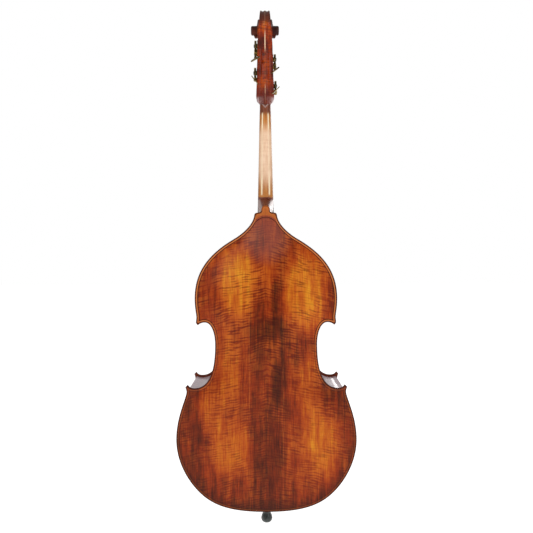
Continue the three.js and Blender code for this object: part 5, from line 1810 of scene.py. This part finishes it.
rod_line = rounded([(0, 9), (4.4, 9), (5, 9.6), (5, 428), (4, 430), (0, 430)], 0.5)
piece("endpin_rod_fine", turned(rod_line, 32), "endpin", "steel", STEEL, ["endpin_rod"], 35)

# height and radius of the rubber tip
tip_rows = [(0, 8.5), (0.8, 11.5), (2, 15), (4, 17.8), (6.5, 19.6), (10, 21.1), (14, 21.7), (18, 21.3)]
tip_rows += [(22, 20.3), (26, 18.9), (30, 17.2), (34, 15.5), (37, 14.2), (40.6, 13.5), (41.6, 13.1)]
tip_rows.append((42, 12.2))
tip_heights = [42 * i / 84 for i in range(85)]
tip_line = [(table(tip_rows, z)[0], z) for z in tip_heights]


def tip_shape():
    """Ribbed rubber foot: shallow grooves run up its sides."""
    ribs = 24

    def wobble(angle, z):
        strength = between(z, 5, 9, 0, 1) * between(z, 33, 36, 1, 0)
        groove = max(0, math.cos(ribs * angle)) ** 6
        return 1 - 0.055 * strength * groove

    segments = ribs * 8
    rings = []
    full = [(5.3, 8.6), (5.3, 42), *reversed(tip_line)]
    for n, (radius, z) in enumerate(full):
        ring = []
        for k in range(segments):
            a = 2 * math.pi * k / segments
            r = radius * (wobble(a, z) if n > 1 else 1)
            ring.append((r * math.cos(a), r * math.sin(a), z))
        rings.append(ring)
    points, faces = loft(rings, False)
    faces.append(tuple(range(segments)))
    faces.append(tuple(reversed([(len(full) - 1) * segments + k for k in range(segments)])))
    return points, faces


piece("endpin_tip_fine", tip_shape(), "endpin", "rubber", RUBBER, ["endpin_tip"], 40)

# ---- inner wood keeps its CAD shape ----
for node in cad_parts:
    if "block" in node or node in ("bass_bar", "sound_post"):
        dress(node, RAW)
        add_bevel(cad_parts[node], 0.8)

# ---- camera, floor and light ----
CAMERA_ROLL = 0.22 * DEG
camera_data = bpy.data.cameras.new("camera")
camera_data.lens = 30.39
camera_data.sensor_width = 36
camera_data.sensor_fit = "HORIZONTAL"
camera = bpy.data.objects.new("camera", camera_data)
camera.location = (-0.0025, 1.754, 0.992)
camera.rotation_euler = (90 * DEG, CAMERA_ROLL, 180 * DEG)
bpy.context.scene.collection.objects.link(camera)
bpy.context.scene.camera = camera

# the floor lies as low as the rubber tip reaches when the endpin is drawn out
FLOOR_Z = -0.302
floor_mesh = bpy.data.meshes.new("floor")
corners = [(x, y, FLOOR_Z) for x, y in ((-30, -30), (30, -30), (30, 30), (-30, 30))]
floor_mesh.from_pydata(corners, [], [(0, 1, 2, 3)])
floor = bpy.data.objects.new("floor", floor_mesh)
bpy.context.scene.collection.objects.link(floor)
white = Look("studio_floor", 0.9, specular=0.0)
white.colour(white.mix(white.noise(white.scaled((0.5, 0.5, 0.5)), 1), (236, 236, 236), (240, 240, 240)))
white.bsdf.inputs["Emission Color"].default_value = (1, 1, 1, 1)
white.bsdf.inputs["Emission Strength"].default_value = 0.72
floor_mesh.materials.append(white.mat)

# the backdrop is white to the camera and lights the instrument more softly
world = bpy.data.worlds.new("studio")
world.use_nodes = True
nodes, links = world.node_tree.nodes, world.node_tree.links
backdrop = nodes["Background"]
backdrop.inputs[0].default_value = (1, 1, 1, 1)
backdrop.inputs[1].default_value = 1.0
room = nodes.new("ShaderNodeBackground")
room.inputs[0].default_value = (1, 0.99, 0.98, 1)
room.inputs[1].default_value = 0.42
seen = nodes.new("ShaderNodeLightPath")
either = nodes.new("ShaderNodeMixShader")
links.new(seen.outputs["Is Camera Ray"], either.inputs[0])
links.new(room.outputs[0], either.inputs[1])
links.new(backdrop.outputs[0], either.inputs[2])
links.new(either.outputs[0], nodes["World Output"].inputs[0])
bpy.context.scene.world = world


def area_light(name, place, aim, size, power):
    data = bpy.data.lights.new(name, "AREA")
    data.shape = "RECTANGLE"
    data.size, data.size_y = size
    data.energy = power
    obj = bpy.data.objects.new(name, data)
    obj.location = place
    obj.rotation_euler = (Vector(aim) - Vector(place)).to_track_quat("-Z", "Y").to_euler()
    bpy.context.scene.collection.objects.link(obj)


area_light("key", (2.2, 3.2, 2.8), (0, 0, 0.9), (1.6, 2.2), 39)
area_light("fill", (-2.6, 2.6, 1.8), (0, 0, 0.9), (1.6, 2.2), 26)
area_light("front", (-1.4, -3.4, 2.6), (0, 0, 0.9), (2.2, 2.2), 40)
bpy.context.scene.view_settings.view_transform = "Standard"
